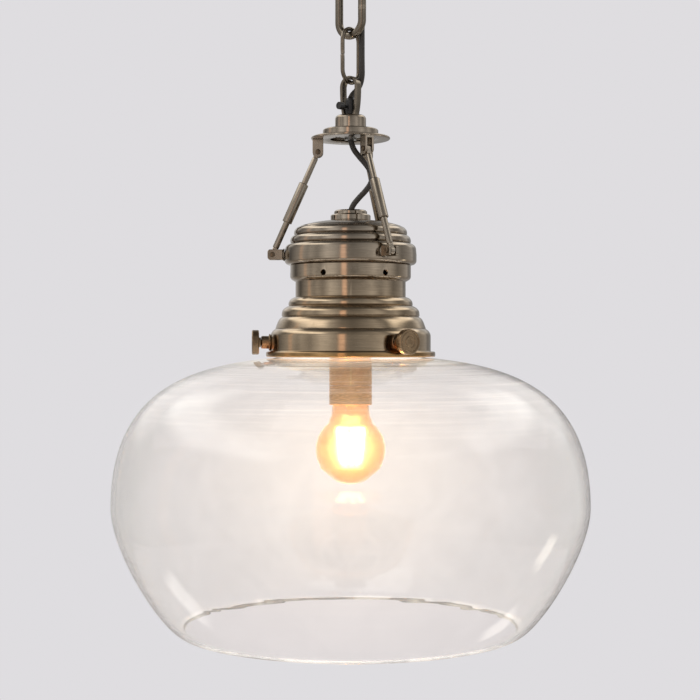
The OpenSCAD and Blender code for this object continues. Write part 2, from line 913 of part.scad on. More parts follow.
// Thread sleeve with rolled turns that the bulb is screwed into
module holder_thread() {
    pitch = 3.63;
    top = -1.6;
    turns = 8;
    outer = [for (i = [0:turns * 2]) [14.6 + (i % 2) * 0.7, top - i * pitch / 2]];
    inner = [for (i = [turns * 2:-1:0]) [13.7 + (i % 2) * 0.7, top - i * pitch / 2]];
    color(brass)
        turned(concat(outer, inner));
}

// Bulb: glass envelope, screw cap, contact, glass stem and filament sticks
bulb_foot = -109.4;
module bulb_glass() {
    centre = bulb_foot + bulb_r;
    wall = 1;
    start = 30;
    side = [bulb_r * cos(start), centre + bulb_r * sin(start)];
    outer = concat(
        arc(0, centre, bulb_r, -90, start, 20),
        curve(side, side + [-4, 6.9], [16.3, -54], [16.3, -46], 8, 1),
        [[15.6, -38], [14.4, -34]]
    );
    inner = beside(outer, wall);
    closed = concat([[0, bulb_foot + wall]], [for (i = [1:len(inner) - 1]) inner[i]]);
    color(amber_glass)
        turned(concat(outer, backwards(closed)));
}

module bulb_cap() {
    pitch = 3.63;
    top = -7.4;
    turns = 6;
    side = [for (i = [0:turns * 2]) [12.4 + (i % 2) * 0.7, top - i * pitch / 2]];
    color(steel)
        turned(concat(
            [[6, top + 2.6], [9, top + 2], [11.6, top + 0.4]],
            side,
            [[14.3, -31.4], [14.3, -33.9], [12.4, -33.9], [11.4, -30], [11.4, top], [6, top + 1]]
        ));
}

module bulb_contact() {
    color(black)
        turned([[0, -6.6], [5.9, -6.6], [5.9, -4.6], [4.4, -4], [3.8, -3.4], [0, -3.4]]);
}

module bulb_stem() {
    color(clear_glass)
        turned(concat(
            [[0, -33], [11.2, -33], [11.2, -34.6], [6, -36.4], [3.4, -41], [2.6, -48], [2.6, -62]],
            arc(0, -64, 2.4, 10, -90, 4)
        ));
}

// Six light sticks between an upper and a lower wire ring, held on the glass stem by three spokes
stick_top = -60;
stick_foot = -94;
module bulb_filaments() {
    color([1, 0.85, 0.5])
        translate([0, 0, base_z]) {
            for (i = [0:5])
                rotate([0, 0, 60 * i + 10])
                    translate([7.5, 0, stick_foot])
                        rotate([0, 7, 0])
                            cylinder(r = 0.9, h = stick_top - stick_foot);
            for (ring = [[7.5, stick_foot], [11.64, stick_top - 0.25]])
                translate([0, 0, ring[1]])
                    rotate_extrude()
                        translate([ring[0], 0])
                            circle(r = 0.7, $fn = 16);
            for (i = [0:2])
                rotate([0, 0, 120 * i + 10])
                    translate([2.62, -0.5, stick_top - 0.8])
                        cube([9, 1, 1]);
        }
}

ceiling_bracket();
canopy_cup();
canopy_stem();
stem_nuts();
terminal_block();
cord_bushing();
canopy_lead();
canopy_collar();
canopy_loop();
chain_link_0();
chain_link_1();
connector_link();
chain_cord(cord_route_0);  // chain_cord_0
chain_cord(cord_route_1);  // chain_cord_1
chain_cord(cord_route_2);  // chain_cord_2
chain_cord(cord_route_3);  // chain_cord_3
hanging_bow();
cord_grip();
grip_screw();
hub_cap();
hub_disc();
hub_nipple();
top_plate();
upper_clevises();
upper_pins();
upper_rod(arm_left);  // upper_rod_left
upper_rod(arm_front);  // upper_rod_front
upper_rod(arm_back);  // upper_rod_back
sleeve(arm_left);  // sleeve_left
sleeve(arm_front);  // sleeve_front
sleeve(arm_back);  // sleeve_back
lower_rod(arm_left);  // lower_rod_left
lower_rod(arm_front);  // lower_rod_front
lower_rod(arm_back);  // lower_rod_back
lower_clevises();
lower_pins();
clevis_nuts();
lead_cord();
cord_nut();
crown();
vent_collar();
fitter();
spider_plate();
main_nipple();
pendant_nuts();
boss_nuts();
thumbscrew(screw_left);  // thumbscrew_left
thumbscrew(screw_front);  // thumbscrew_front
thumbscrew(screw_back);  // thumbscrew_back
glass_shade();
holder_cap();
holder_barrel();
holder_ring();
holder_core();
holder_thread();
bulb_glass();
bulb_cap();
bulb_contact();
bulb_stem();
bulb_filaments();
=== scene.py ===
import math
import bmesh
import bpy
from mathutils import Matrix, Vector


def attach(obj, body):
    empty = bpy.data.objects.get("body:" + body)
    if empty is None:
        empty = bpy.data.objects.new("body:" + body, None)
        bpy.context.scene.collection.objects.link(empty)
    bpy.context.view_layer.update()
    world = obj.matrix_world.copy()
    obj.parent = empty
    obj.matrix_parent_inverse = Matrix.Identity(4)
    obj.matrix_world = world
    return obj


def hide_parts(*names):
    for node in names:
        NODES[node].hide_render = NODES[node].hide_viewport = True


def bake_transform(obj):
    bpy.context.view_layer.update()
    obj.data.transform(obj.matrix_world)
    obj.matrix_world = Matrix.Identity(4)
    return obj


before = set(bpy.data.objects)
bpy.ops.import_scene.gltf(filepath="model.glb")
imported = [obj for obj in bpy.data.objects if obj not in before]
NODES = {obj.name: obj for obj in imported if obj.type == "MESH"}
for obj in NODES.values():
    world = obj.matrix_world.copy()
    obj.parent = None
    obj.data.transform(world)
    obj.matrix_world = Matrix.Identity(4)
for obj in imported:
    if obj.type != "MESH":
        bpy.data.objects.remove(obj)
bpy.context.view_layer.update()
scene = bpy.context.scene
MM = 0.001
BASE = -446.1

# Camera

EYE_Z = -0.440
cam_data = bpy.data.cameras.new("camera")
cam_data.sensor_width = 36
cam_data.lens = 76.4
cam_data.clip_start = 0.05
cam_data.clip_end = 60
cam = bpy.data.objects.new("camera", cam_data)
cam.location = (-0.0005, -1.2845, EYE_Z)
cam.rotation_euler = (math.radians(90), 0, 0)
scene.collection.objects.link(cam)
scene.camera = cam
scene.view_settings.view_transform = "Standard"

# Shape helpers


def unit(v):
    n = math.hypot(*v)
    return tuple(c / n for c in v)


def arc(cx, cz, r, a, b, n=8):
    return [(cx + r * math.cos(math.radians(a + (b - a) * i / n)), cz + r * math.sin(math.radians(a + (b - a) * i / n))) for i in range(n + 1)]


def bezier(p0, p1, p2, p3, n=16, first=0):
    out = []
    for i in range(first, n + 1):
        t = i / n
        s = 1 - t
        out.append(tuple(s ** 3 * a + 3 * s * s * t * b + 3 * s * t * t * c + t ** 3 * d for a, b, c, d in zip(p0, p1, p2, p3)))
    return out


def beside(p, d):
    out = []
    for i in range(len(p)):
        a, b = p[max(i - 1, 0)], p[min(i + 1, len(p) - 1)]
        t = unit((b[0] - a[0], b[1] - a[1]))
        out.append((p[i][0] - t[1] * d, p[i][1] + t[0] * d))
    return out


def eased(outline, r, n=3):
    """A closed outline with its sharp corners rounded to radius r."""
    out = []
    m = len(outline)
    for i in range(m):
        p, q, s = Vector(outline[i - 1]), Vector(outline[i]), Vector(outline[(i + 1) % m])
        a, b = (p - q), (s - q)
        if a.length < 1e-6 or b.length < 1e-6:
            continue
        turn = math.pi - a.angle(b)
        if turn < math.radians(24) or q[0] < 0.02:
            out.append(tuple(q))
            continue
        cut = min(r * math.tan(turn / 2), 0.42 * a.length, 0.42 * b.length)
        p1, p2 = q + a.normalized() * cut, q + b.normalized() * cut
        for k in range(n + 1):
            t = k / n
            out.append(tuple((1 - t) ** 2 * p1 + 2 * t * (1 - t) * q + t * t * p2))
    return out


def revolve(outline, steps=128, closed=True):
    """Verts and faces of an outline of (radius, height), in millimetres, turned about Z."""
    verts, rings = [], []
    for r, z in outline:
        if abs(r) < 1e-4:
            rings.append([len(verts)] * steps)
            verts.append((0, 0, z * MM))
        else:
            rings.append(list(range(len(verts), len(verts) + steps)))
            verts += [(r * MM * math.cos(2 * math.pi * k / steps), r * MM * math.sin(2 * math.pi * k / steps), z * MM) for k in range(steps)]
    faces = []
    for i in range(len(rings) if closed else len(rings) - 1):
        a, b = rings[i], rings[(i + 1) % len(rings)]
        for k in range(steps):
            q = (k + 1) % steps
            f = []
            for v in (a[k], a[q], b[q], b[k]):
                if v not in f:
                    f.append(v)
            if len(f) > 2:
                faces.append(f)
    return verts, faces


def sweep(points, radius, sides=20, closed=False, radii=None):
    """A round tube along points, in metres."""
    pts = [Vector(p) for p in points]
    n = len(pts)
    tangents = []
    for i in range(n):
        a = pts[(i - 1) % n] if closed or i else pts[0]
        b = pts[(i + 1) % n] if closed or i < n - 1 else pts[-1]
        tangents.append((b - a).normalized())
    up = Vector((0, 1, 0)) if abs(tangents[0].y) < 0.9 else Vector((1, 0, 0))
    side = tangents[0].cross(up).normalized()
    verts = []
    for i in range(n):
        side = (side - tangents[i] * side.dot(tangents[i])).normalized()
        other = tangents[i].cross(side)
        r = radii[i] if radii else radius
        for k in range(sides):
            w = 2 * math.pi * k / sides
            verts.append(tuple(pts[i] + (side * math.cos(w) + other * math.sin(w)) * r))
    faces = []
    for i in range(n if closed else n - 1):
        a, b = i * sides, ((i + 1) % n) * sides
        shift = 0
        if closed and i == n - 1:
            first, last = Vector(verts[0]) - pts[0], Vector(verts[a]) - pts[-1]
            shift = round(math.atan2(first.cross(last).dot(tangents[0]), first.dot(last)) / (2 * math.pi / sides))
        for k in range(sides):
            q = (k + 1) % sides
            faces.append([a + k, a + q, b + (q + shift) % sides, b + (k + shift) % sides])
    if not closed:
        faces.append(list(range(sides))[::-1])
        faces.append([(n - 1) * sides + k for k in range(sides)])
    return verts, faces


def prism(outline, t, bevel=0.35):
    """A flat piece: an outline in the XZ plane, in millimetres, t thick along Y, with small chamfers."""
    m = len(outline)
    area = sum(outline[i][0] * outline[(i + 1) % m][1] - outline[(i + 1) % m][0] * outline[i][1] for i in range(m))
    sign = 1 if area > 0 else -1
    inner = []
    for i in range(m):
        a, b, c = Vector(outline[i - 1]), Vector(outline[i]), Vector(outline[(i + 1) % m])
        n1, n2 = Vector((-(b - a).y, (b - a).x)).normalized(), Vector((-(c - b).y, (c - b).x)).normalized()
        n = (n1 + n2).normalized() * sign
        inner.append(b + n * bevel)
    verts = []
    for ring, y in ((inner, -t / 2), (outline, -t / 2 + bevel), (outline, t / 2 - bevel), (inner, t / 2)):
        verts += [(p[0] * MM, y * MM, p[1] * MM) for p in ring]
    faces = [[j * m + i, j * m + (i + 1) % m, (j + 1) * m + (i + 1) % m, (j + 1) * m + i] for j in range(3) for i in range(m)]
    faces += [list(range(m))[::-1], [3 * m + i for i in range(m)]]
    return verts, faces


def hexagon(r, h, bore, z=0):
    """A nut about Z with chamfered corners."""
    verts, faces = revolve([(bore, z), (r * 0.9, z), (r, z + 0.08 * h), (r, z + 0.92 * h), (r * 0.9, z + h), (bore, z + h)], 72)
    out = []
    for x, y, zz in verts:
        d = math.hypot(x, y)
        w = math.degrees(math.atan2(y, x)) % 60 - 30
        limit = r * 0.866 / math.cos(math.radians(w)) * MM
        k = min(1, limit / d) if d > limit else 1
        out.append((x * k, y * k, zz))
    return out, faces


def smooth(mesh, sharp):
    """Turns the normals outwards and shades smooth, except over edges sharper than the angle."""
    bm = bmesh.new()
    bm.from_mesh(mesh)
    bmesh.ops.remove_doubles(bm, verts=bm.verts, dist=1e-7)
    bmesh.ops.recalc_face_normals(bm, faces=bm.faces)
    for e in bm.edges:
        e.smooth = len(e.link_faces) == 2 and e.calc_face_angle(0) < math.radians(sharp)
    for f in bm.faces:
        f.smooth = True
    bm.to_mesh(mesh)
    bm.free()


class Piece:
    """Collects parts into one mesh, in a frame of its own."""

    def __init__(self, place=None):
        self.verts, self.faces = [], []
        self.place = place or Matrix.Identity(4)

    def add(self, part, at=None):
        verts, faces = part
        base = len(self.verts)
        self.verts += [tuple(at @ Vector(v)) if at else tuple(v) for v in verts]
        self.faces += [[base + i for i in f] for f in faces]
        return self

    def make(self, name, body, material, slot, nodes=(), sharp=38, ride=True):
        mesh = bpy.data.meshes.new(name)
        mesh.from_pydata(self.verts, [], self.faces)
        smooth(mesh, sharp)
        obj = bpy.data.objects.new(name, mesh)
        scene.collection.objects.link(obj)
        obj.matrix_world = self.place
        mesh.materials.append(material)
        if ride:
            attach(obj, body)
        if nodes:
            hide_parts(*nodes)
        return obj


def turn(a, axis="Z"):
    return Matrix.Rotation(math.radians(a), 4, axis)


def move(x=0, y=0, z=0):
    return Matrix.Translation((x * MM, y * MM, z * MM))


def cut(obj, cutters):
    """Cuts round holes through obj, then keeps the result as its mesh."""
    made = []
    for part, at in cutters:
        p = Piece()
        p.add(part, at)
        mesh = bpy.data.meshes.new("cutter")
        mesh.from_pydata(p.verts, [], p.faces)
        smooth(mesh, 38)
        o = bpy.data.objects.new("cutter", mesh)
        scene.collection.objects.link(o)
        m = obj.modifiers.new("cut", "BOOLEAN")
        m.object = o
        m.operation = "DIFFERENCE"
        m.solver = "EXACT"
        made.append(o)
    bpy.context.view_layer.update()
    new = bpy.data.meshes.new_from_object(obj.evaluated_get(bpy.context.evaluated_depsgraph_get()))
    obj.modifiers.clear()
    obj.data = new
    smooth(new, 30)
    for o in made:
        bpy.data.objects.remove(o)
    return obj


# Materials


class Nodes:
    def __init__(self, name, tree=None):
        if not tree:
            self.mat = bpy.data.materials.new(name)
            self.mat.use_nodes = True
        self.tree = tree or self.mat.node_tree
        self.bsdf = self.tree.nodes.get("Principled BSDF")

    def new(self, kind, **props):
        n = self.tree.nodes.new(kind)
        for k, v in props.items():
            setattr(n, k, v)
        return n

    def link(self, a, b):
        self.tree.links.new(a, b)

    def set(self, **values):
        for k, v in values.items():
            self.bsdf.inputs[k.replace("_", " ")].default_value = v
        return self

    def math(self, op, a, b=None):
        n = self.new("ShaderNodeMath", operation=op)
        for i, v in enumerate((a, b)):
            if v is None:
                continue
            if isinstance(v, (int, float)):
                n.inputs[i].default_value = v
            else:
                self.link(v, n.inputs[i])
        return n.outputs[0]

    def coords(self):
        return self.new("ShaderNodeTexCoord").outputs["Object"]

    def noise(self, vector, scale, detail=4, rough=0.55, distortion=0):
        n = self.new("ShaderNodeTexNoise")
        n.inputs["Scale"].default_value = scale
        n.inputs["Detail"].default_value = detail
        n.inputs["Roughness"].default_value = rough
        n.inputs["Distortion"].default_value = distortion
        self.link(vector, n.inputs["Vector"])
        return n.outputs["Fac"]

    def ramp(self, fac, stops):
        n = self.new("ShaderNodeValToRGB")
        while len(n.color_ramp.elements) < len(stops):
            n.color_ramp.elements.new(0.5)
        for e, (at, c) in zip(n.color_ramp.elements, stops):
            e.position = at
            e.color = (*c, 1) if len(c) == 3 else c
        self.link(fac, n.inputs["Fac"])
        return n.outputs["Color"]

    def remap(self, v, a, b, lo=0.0, hi=1.0, soft=False):
        n = self.new("ShaderNodeMapRange", interpolation_type="SMOOTHSTEP" if soft else "LINEAR")
        n.inputs["From Min"].default_value = lo
        n.inputs["From Max"].default_value = hi
        n.inputs["To Min"].default_value = a
        n.inputs["To Max"].default_value = b
        self.link(v, n.inputs["Value"])
        return n.outputs["Result"]

    def mix(self, fac, a, b, kind="MIX"):
        n = self.new("ShaderNodeMix", data_type="RGBA", blend_type=kind)
        for socket, v in ((n.inputs[0], fac), (n.inputs[6], a), (n.inputs[7], b)):
            if isinstance(v, (int, float)):
                socket.default_value = v
            elif isinstance(v, tuple):
                socket.default_value = (*v, 1) if len(v) == 3 else v
            else:
                self.link(v, socket)
        return n.outputs[2]

    def bump(self, height, strength, distance):
        n = self.new("ShaderNodeBump")
        n.inputs["Strength"].default_value = strength
        n.inputs["Distance"].default_value = distance
        self.link(height, n.inputs["Height"])
        self.link(n.outputs["Normal"], self.bsdf.inputs["Normal"])

    def spun(self):
        """Coordinates stretched round the Z axis, so that noise becomes turned lines."""
        s = self.new("ShaderNodeSeparateXYZ")
        self.link(self.coords(), s.inputs[0])
        around = self.math("ARCTAN2", s.outputs["Y"], s.outputs["X"])
        out = self.math("SQRT", self.math("ADD", self.math("POWER", s.outputs["X"], 2), self.math("POWER", s.outputs["Y"], 2)))
        c = self.new("ShaderNodeCombineXYZ")
        self.link(self.math("MULTIPLY", around, 0.0022), c.inputs["X"])
        self.link(out, c.inputs["Y"])
        self.link(s.outputs["Z"], c.inputs["Z"])
        return c.outputs[0]

    def drawn(self):
        """Coordinates stretched along the Z axis, so that noise becomes drawn lines."""
        m = self.new("ShaderNodeMapping")
        m.inputs["Scale"].default_value = (1, 1, 0.04)
        self.link(self.coords(), m.inputs["Vector"])
        return m.outputs[0]


def aged_metal(name, light, dark, rough, lines, aniso=0.0, line_scale=1500, wear=None, tints_and_lamp_light=None, metal=1.0):
    """Old nickel plated brass: a patina in patches, fine tool lines, crevices darkened by patina and painted shade,
    pale worn edges, and optional warm tints by height, which include painted lamp light.
    """
    n = Nodes(name)
    n.set(Metallic=metal)
    xyz = n.coords()
    patches = n.noise(xyz, 26, 5, 0.6)
    stain = n.noise(xyz, 110, 3, 0.6, 0.4)
    grain = n.noise({"spun": n.spun, "drawn": n.drawn, "cast": n.coords}[lines](), line_scale, 3, 0.6)
    tone = n.ramp(patches, [(0.32, dark), (0.62, light)])
    tone = n.mix(n.remap(grain, 0.0, 0.5, 0.35, 0.7), tone, tuple(c * 0.72 for c in dark))
    tone = n.mix(n.remap(stain, 0.0, 0.35, 0.55, 0.8), tone, tuple(c * 0.55 for c in dark))
    geo = n.new("ShaderNodeNewGeometry")
    # Creases and crevices darken: patina in the hollows, together with painted shade
    edge = n.ramp(geo.outputs["Pointiness"], [(0.47, (0, 0, 0)), (0.56, (1, 1, 1))])
    tone = n.mix(n.math("MULTIPLY", n.remap(edge, 1, 0), 0.45), tone, tuple(c * 0.35 for c in dark))
    worn = wear or tuple(min(1, c * 1.35) for c in light)
    high = n.ramp(geo.outputs["Pointiness"], [(0.53, (0, 0, 0)), (0.6, (1, 1, 1))])
    tone = n.mix(n.math("MULTIPLY", high, 0.5), tone, worn)
    if tints_and_lamp_light:
        # Colours multiplied in by height, for a warmer tone and for painted warm light from the lamp below: (colour,
        # heights in mm, share) for each zone
        at = n.new("ShaderNodeSeparateXYZ")
        n.link(xyz, at.inputs[0])
        for colour, low, high, share in tints_and_lamp_light:
            zone = n.remap(at.outputs["Z"], share, 0, (BASE + low) * MM, (BASE + high) * MM, True)
            tone = n.mix(zone, tone, colour, "MULTIPLY")
    n.link(tone, n.bsdf.inputs["Base Color"])
    r = n.math("ADD", n.remap(grain, rough - 0.03, rough + 0.04, 0.3, 0.7), n.remap(patches, -0.02, 0.03))
    n.link(r, n.bsdf.inputs["Roughness"])
    n.bump(grain, 0.1, 0.00015)
    if aniso:
        n.set(Anisotropic=aniso, Anisotropic_Rotation=0.25)
        t = n.new("ShaderNodeTangent", direction_type="RADIAL", axis="Z")
        n.link(t.outputs[0], n.bsdf.inputs["Tangent"])
    return n.mat


NICKEL = (0.45, 0.388, 0.318)
NICKEL_DARK = (0.35, 0.292, 0.23)
# Spun brass: a warmer tone over the lower gallery, then painted warm lamp light on the flange, brightest on its lowest
# lip
spun_metal = aged_metal("spun_nickel_brass", NICKEL, NICKEL_DARK, 0.15, "spun", 0.7, tints_and_lamp_light=[((1.2, 1.07, 0.86), 30, 110, 0.7), ((0.85, 0.64, 0.36), 2, 7, 0.9), ((2.2, 1.7, 1.0), -1, 1.4, 1)])
drawn_metal = aged_metal("drawn_nickel_brass", (0.4, 0.35, 0.29), (0.28, 0.24, 0.19), 0.24, "drawn")
cast_metal = aged_metal("cast_nickel_brass", (0.33, 0.285, 0.23), (0.15, 0.128, 0.1), 0.25, "cast", 0, 900)
# The bronze carries painted warm lamp light low on the screws and boss nuts
bronze = aged_metal("dark_bronze", (0.4, 0.285, 0.175), (0.24, 0.165, 0.1), 0.24, "spun", 0.3, tints_and_lamp_light=[((2.0, 1.2, 0.75), 6, 16, 1)])
bronze_pin = aged_metal("dark_bronze_pin", (0.26, 0.2, 0.14), (0.13, 0.1, 0.07), 0.35, "cast", 0, 900)
steel = aged_metal("plated_steel", (0.52, 0.52, 0.5), (0.38, 0.38, 0.37), 0.32, "spun", 0.2)
warm_brass = aged_metal("holder_brass", (1.0, 0.6, 0.25), (0.9, 0.47, 0.17), 0.26, "spun", 0.6, metal=0.35)
bright_brass = aged_metal("contact_brass", (0.72, 0.54, 0.25), (0.5, 0.36, 0.16), 0.25, "spun")


def moulded(name, colour, rough, coat=0.0, spots=380, depth=0.00008):
    """Moulded plastic, rubber or glazed ceramic: slight mottling, fine texture and pale specks."""
    n = Nodes(name)
    xyz = n.coords()
    fine = n.noise(xyz, spots, 4, 0.6)
    cloud = n.noise(xyz, 45, 4, 0.5)
    lo = tuple(c * 0.8 for c in colour)
    hi = tuple(min(1, c * 1.12 + 0.008) for c in colour)
    n.link(n.mix(n.remap(fine, 0, 0.6, 0.35, 0.75), n.ramp(cloud, [(0.3, lo), (0.7, colour)]), hi), n.bsdf.inputs["Base Color"])
    n.link(n.remap(fine, rough - 0.05, rough + 0.1, 0.3, 0.7), n.bsdf.inputs["Roughness"])
    n.set(Coat_Weight=coat, Coat_Roughness=0.1)
    n.bump(fine, 0.25, depth)
    return n.mat


black_plastic = moulded("black_plastic", (0.012, 0.012, 0.013), 0.42)
black_steel = moulded("blackened_steel", (0.014, 0.014, 0.015), 0.3)
cord_skin = moulded("cord_sheath", (0.036, 0.032, 0.028), 0.46, spots=900, depth=0.00012)
ceramic = moulded("white_ceramic", (0.8, 0.77, 0.7), 0.25, 0.5, 200, 0.00004)


def glass(name, tint, rough, body, waves, depth, glow=None, rim=0.0, coat=0.0, painted_neck_light=None):
    """Blown glass: transmission with a slight tint, long slow waves in the surface and a faint film; optionally a glow,
    a milky rim with painted glints, and painted lamp light near the neck.
    """
    n = Nodes(name)
    n.set(Transmission_Weight=body, IOR=1.45, Coat_Weight=coat, Coat_Roughness=0.03)
    v = n.spun()
    wave = n.noise(v, waves, 2, 0.4, 0.3)
    film = n.noise(n.coords(), 20, 5, 0.62, 0.8)
    n.link(n.ramp(film, [(0.36, tuple(c * 0.965 for c in tint)), (0.64, tint)]), n.bsdf.inputs["Base Color"])
    haze = n.remap(film, rough, rough + 0.03, 0.35, 0.75)
    if rim:
        # The ground lower rim is a little milky
        at = n.new("ShaderNodeSeparateXYZ")
        n.link(n.coords(), at.inputs[0])
        milky = n.remap(at.outputs["Z"], 1, 0, rim, rim + 0.0012, True)
        haze = n.math("ADD", haze, n.math("MULTIPLY", milky, 0.12))
        n.link(n.remap(milky, body, 0.82), n.bsdf.inputs["Transmission Weight"])
    n.link(haze, n.bsdf.inputs["Roughness"])
    n.bump(wave, 0.25, depth)
    if glow:
        n.link(n.ramp(film, [(0.3, tuple(c * 0.8 for c in glow)), (0.7, glow)]), n.bsdf.inputs["Emission Color"])
        n.set(Emission_Strength=1.0)
    if painted_neck_light:
        # Painted light: the film near the neck glows as if it caught the lamp's light
        low, high, colour = painted_neck_light
        near = n.new("ShaderNodeSeparateXYZ")
        n.link(n.coords(), near.inputs[0])
        n.link(n.ramp(film, [(0.35, tuple(c * 0.6 for c in colour)), (0.65, colour)]), n.bsdf.inputs["Emission Color"])
        strength = n.remap(near.outputs["Z"], 0, 1, low, high, True)
        # Painted bright streaks run round the shoulder
        shoulder_streak_light = n.remap(n.noise(v, 420, 3, 0.6, 0.6), 0, 0.9, 0.54, 0.7)
        shoulder = n.remap(near.outputs["Z"], 0, 1, low - 0.075, low - 0.01, True)
        strength = n.math("ADD", strength, n.math("MULTIPLY", shoulder_streak_light, shoulder))
        if rim:
            # Painted glints of light along the rim
            painted_rim_glint = n.math("MULTIPLY", milky, n.remap(film, 0, 1.7, 0.42, 0.6))
            strength = n.math("ADD", strength, painted_rim_glint)
        n.link(strength, n.bsdf.inputs["Emission Strength"])
    return n.mat


# The shade glass carries painted lamp light near its neck and painted glints along its rim
shade_glass = glass("clear_blown_glass", (0.975, 0.985, 0.982), 0.0, 0.965, 70, 0.0006, rim=(BASE - 235 + 1.6) * MM,
    painted_neck_light=((BASE - 10) * MM, (BASE - 3) * MM, (0.13, 0.118, 0.1)))
lamp_glass = glass("amber_lamp_glass", (0.92, 0.675, 0.42), 0.25, 1.0, 120, 0.0002, (0.035, 0.018, 0.006), coat=0.6)
stem_glass = glass("lamp_stem_glass", (0.97, 0.96, 0.9), 0.02, 0.95, 300, 0.0001)


def glowing(name, colour, strength, alpha=1.0):
    n = Nodes(name)
    xyz = n.coords()
    flicker = n.noise(xyz, 260, 3, 0.5)
    n.link(n.ramp(flicker, [(0.3, tuple(c * 0.92 for c in colour)), (0.7, colour)]), n.bsdf.inputs["Emission Color"])
    n.link(n.ramp(flicker, [(0.3, (0.8, 0.6, 0.3)), (0.7, (0.9, 0.75, 0.4))]), n.bsdf.inputs["Base Color"])
    n.set(Roughness=0.5, Alpha=alpha)
    # White hot in the middle of the cage, cooler towards its ends
    at = n.new("ShaderNodeSeparateXYZ")
    n.link(xyz, at.inputs[0])
    off = n.math("ABSOLUTE", n.math("SUBTRACT", at.outputs["Z"], (BASE - 76) * MM))
    n.link(n.remap(off, strength, 1.3, 0.008, 0.019, True), n.bsdf.inputs["Emission Strength"])
    return n.mat


hot_wire = glowing("hot_filament", (1.0, 0.84, 0.56), 24)

# Cords

CORD_R = 4.9 / 2 * MM
CHAIN_ROUTE = [
    [(24, 0, -62), (23.6, 0.2, -71), (21, 0.6, -82), (16.5, 1, -94), (12.6, 1.4, -109)],
    [(12.6, 1.4, -109), (10.8, 1.4, -121), (9.9, 1, -133), (9.8, 0.8, -146)],
    [(9.8, 0.8, -146), (9.8, 0.8, -159), (9.8, 0.8, -172), (9.8, 0.6, -186)],
    [(9.8, 0.6, -186), (9.9, 0.8, -195), (9.8, 2, -203), (8.2, 4.4, -209.8), (4.9, 4.9, -214.9), (1.8, 2.3, -218.8), (0, 0, -222.4)],
]
LEAD_ROUTE = [
    (0, 0, -222.4), (0, 0, -230), (0, 0, -240), (0, 0, -250), (0.2, 0, -258), (2.6, 0, -266), (7.6, -0.4, -273),
    (13.2, -0.8, -279.6), (17.4, -1, -286), (18.4, -1, -291), (17.2, -1, -296.4), (12.8, -0.6, -302.6), (7, -0.2, -308.8),
    (2.2, 0, -315), (0, 0, -322), (0, 0, -334), (0, 0, -348), (0, 0, -362), (0, 0, -376), (0, 0, -390), (0, 0, -404),
    (0, 0, -416), (0, 0, -426),
]


def spline(points, n=6):
    """A smooth line through the points, and the index in it of each point."""
    pts = [Vector(p) * MM for p in points]
    out, marks = [], []
    for i in range(len(pts) - 1):
        p1, p2 = pts[i], pts[i + 1]
        p0 = pts[i - 1] if i else p1 + (p1 - p2)
        p3 = pts[i + 2] if i + 2 < len(pts) else p2 + (p2 - p1)
        marks.append(len(out))
        for k in range(n):
            t = k / n
            out.append(0.5 * (2 * p1 + (p2 - p0) * t + (2 * p0 - 5 * p1 + 4 * p2 - p3) * t * t + (3 * p1 - p0 - 3 * p2 + p3) * t ** 3))
    marks.append(len(out))
    out.append(pts[-1])
    return out, marks


def cord_piece(name, line, body, node):
    piece = Piece().add(sweep(line, CORD_R, 16))
    return piece.make(name, body, cord_skin, "cord_sheath", [node], 60, ride=body is not None)


whole = CHAIN_ROUTE[0] + [p for part in CHAIN_ROUTE[1:] for p in part[1:]]
line, marks = spline(whole)
HANGS = [-92.2, -130.4, -168.1, -208.9]
first = 0
for i, part in enumerate(CHAIN_ROUTE):
    a, b = marks[first], marks[first + len(part) - 1]
    first += len(part) - 1
    path = line[a:b + 1]
    obj = cord_piece(f"chain_cord_{i}_sheath", path, None, f"chain_cord_{i}")
    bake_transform(obj)

path, _ = spline(LEAD_ROUTE)
lead = cord_piece("lead_cord_sheath", path, "pendant", "lead_cord")

# Ceiling fitting

CANOPY_R, CANOPY_H = 60, 55
HOLE = 5.1


def lathe(name, outline, body, material, slot, nodes, base=0.0, steps=128, ease=0.35, at=None):
    pts = eased([(r, z + base) for r, z in outline], ease)
    return Piece(at).add(revolve(pts, steps)).make(name, body, material, slot, nodes)


side = [(CANOPY_R, -3.5), (CANOPY_R, -18)] + bezier((CANOPY_R, -18), (CANOPY_R, -40), (54, -CANOPY_H), (34, -CANOPY_H), 20, 1) + [(HOLE, -CANOPY_H)]
canopy = lathe("canopy_cup_spun", [(CANOPY_R - 1.5, -0.4), (CANOPY_R + 1.5, -0.4), (CANOPY_R + 1.5, -2.9)] + side + beside(side, -1.5)[::-1],
               "ceiling_fitting", spun_metal, "nickel_brass", ["canopy_cup"], ease=0.6)
lathe("canopy_collar_turned", [(HOLE, -55.05), (13, -55.05), (13, -57)] + arc(11.5, -65.5, 1.5, 0, -90, 5) + [(0, -67), (0, -65), (HOLE, -65)],
      "ceiling_fitting", spun_metal, "nickel_brass", ["canopy_collar"])
lathe("cord_bushing_moulded", [(2.6, -62), (3.8, -62), (5, -56.8), (7, -56.2), (7, -55.05), (4.4, -55.05), (4.4, -53.4), (7, -53.4), (7, -50.4), (2.6, -50.4)],
      "ceiling_fitting", black_plastic, "black_plastic", ["cord_bushing"], steps=48, at=move(24))

for name, material in (("ceiling_bracket", steel), ("canopy_stem", steel), ("stem_nuts", steel), ("terminal_block", ceramic),
                       ("canopy_lead", cord_skin), ("hub_nipple", steel), ("clevis_nuts", steel), ("spider_plate", steel),
                       ("main_nipple", steel), ("pendant_nuts", steel), ("holder_core", ceramic), ("bulb_contact", black_plastic)):
    data = NODES[name].data
    data.materials.clear()
    data.materials.append(material)

# Chain


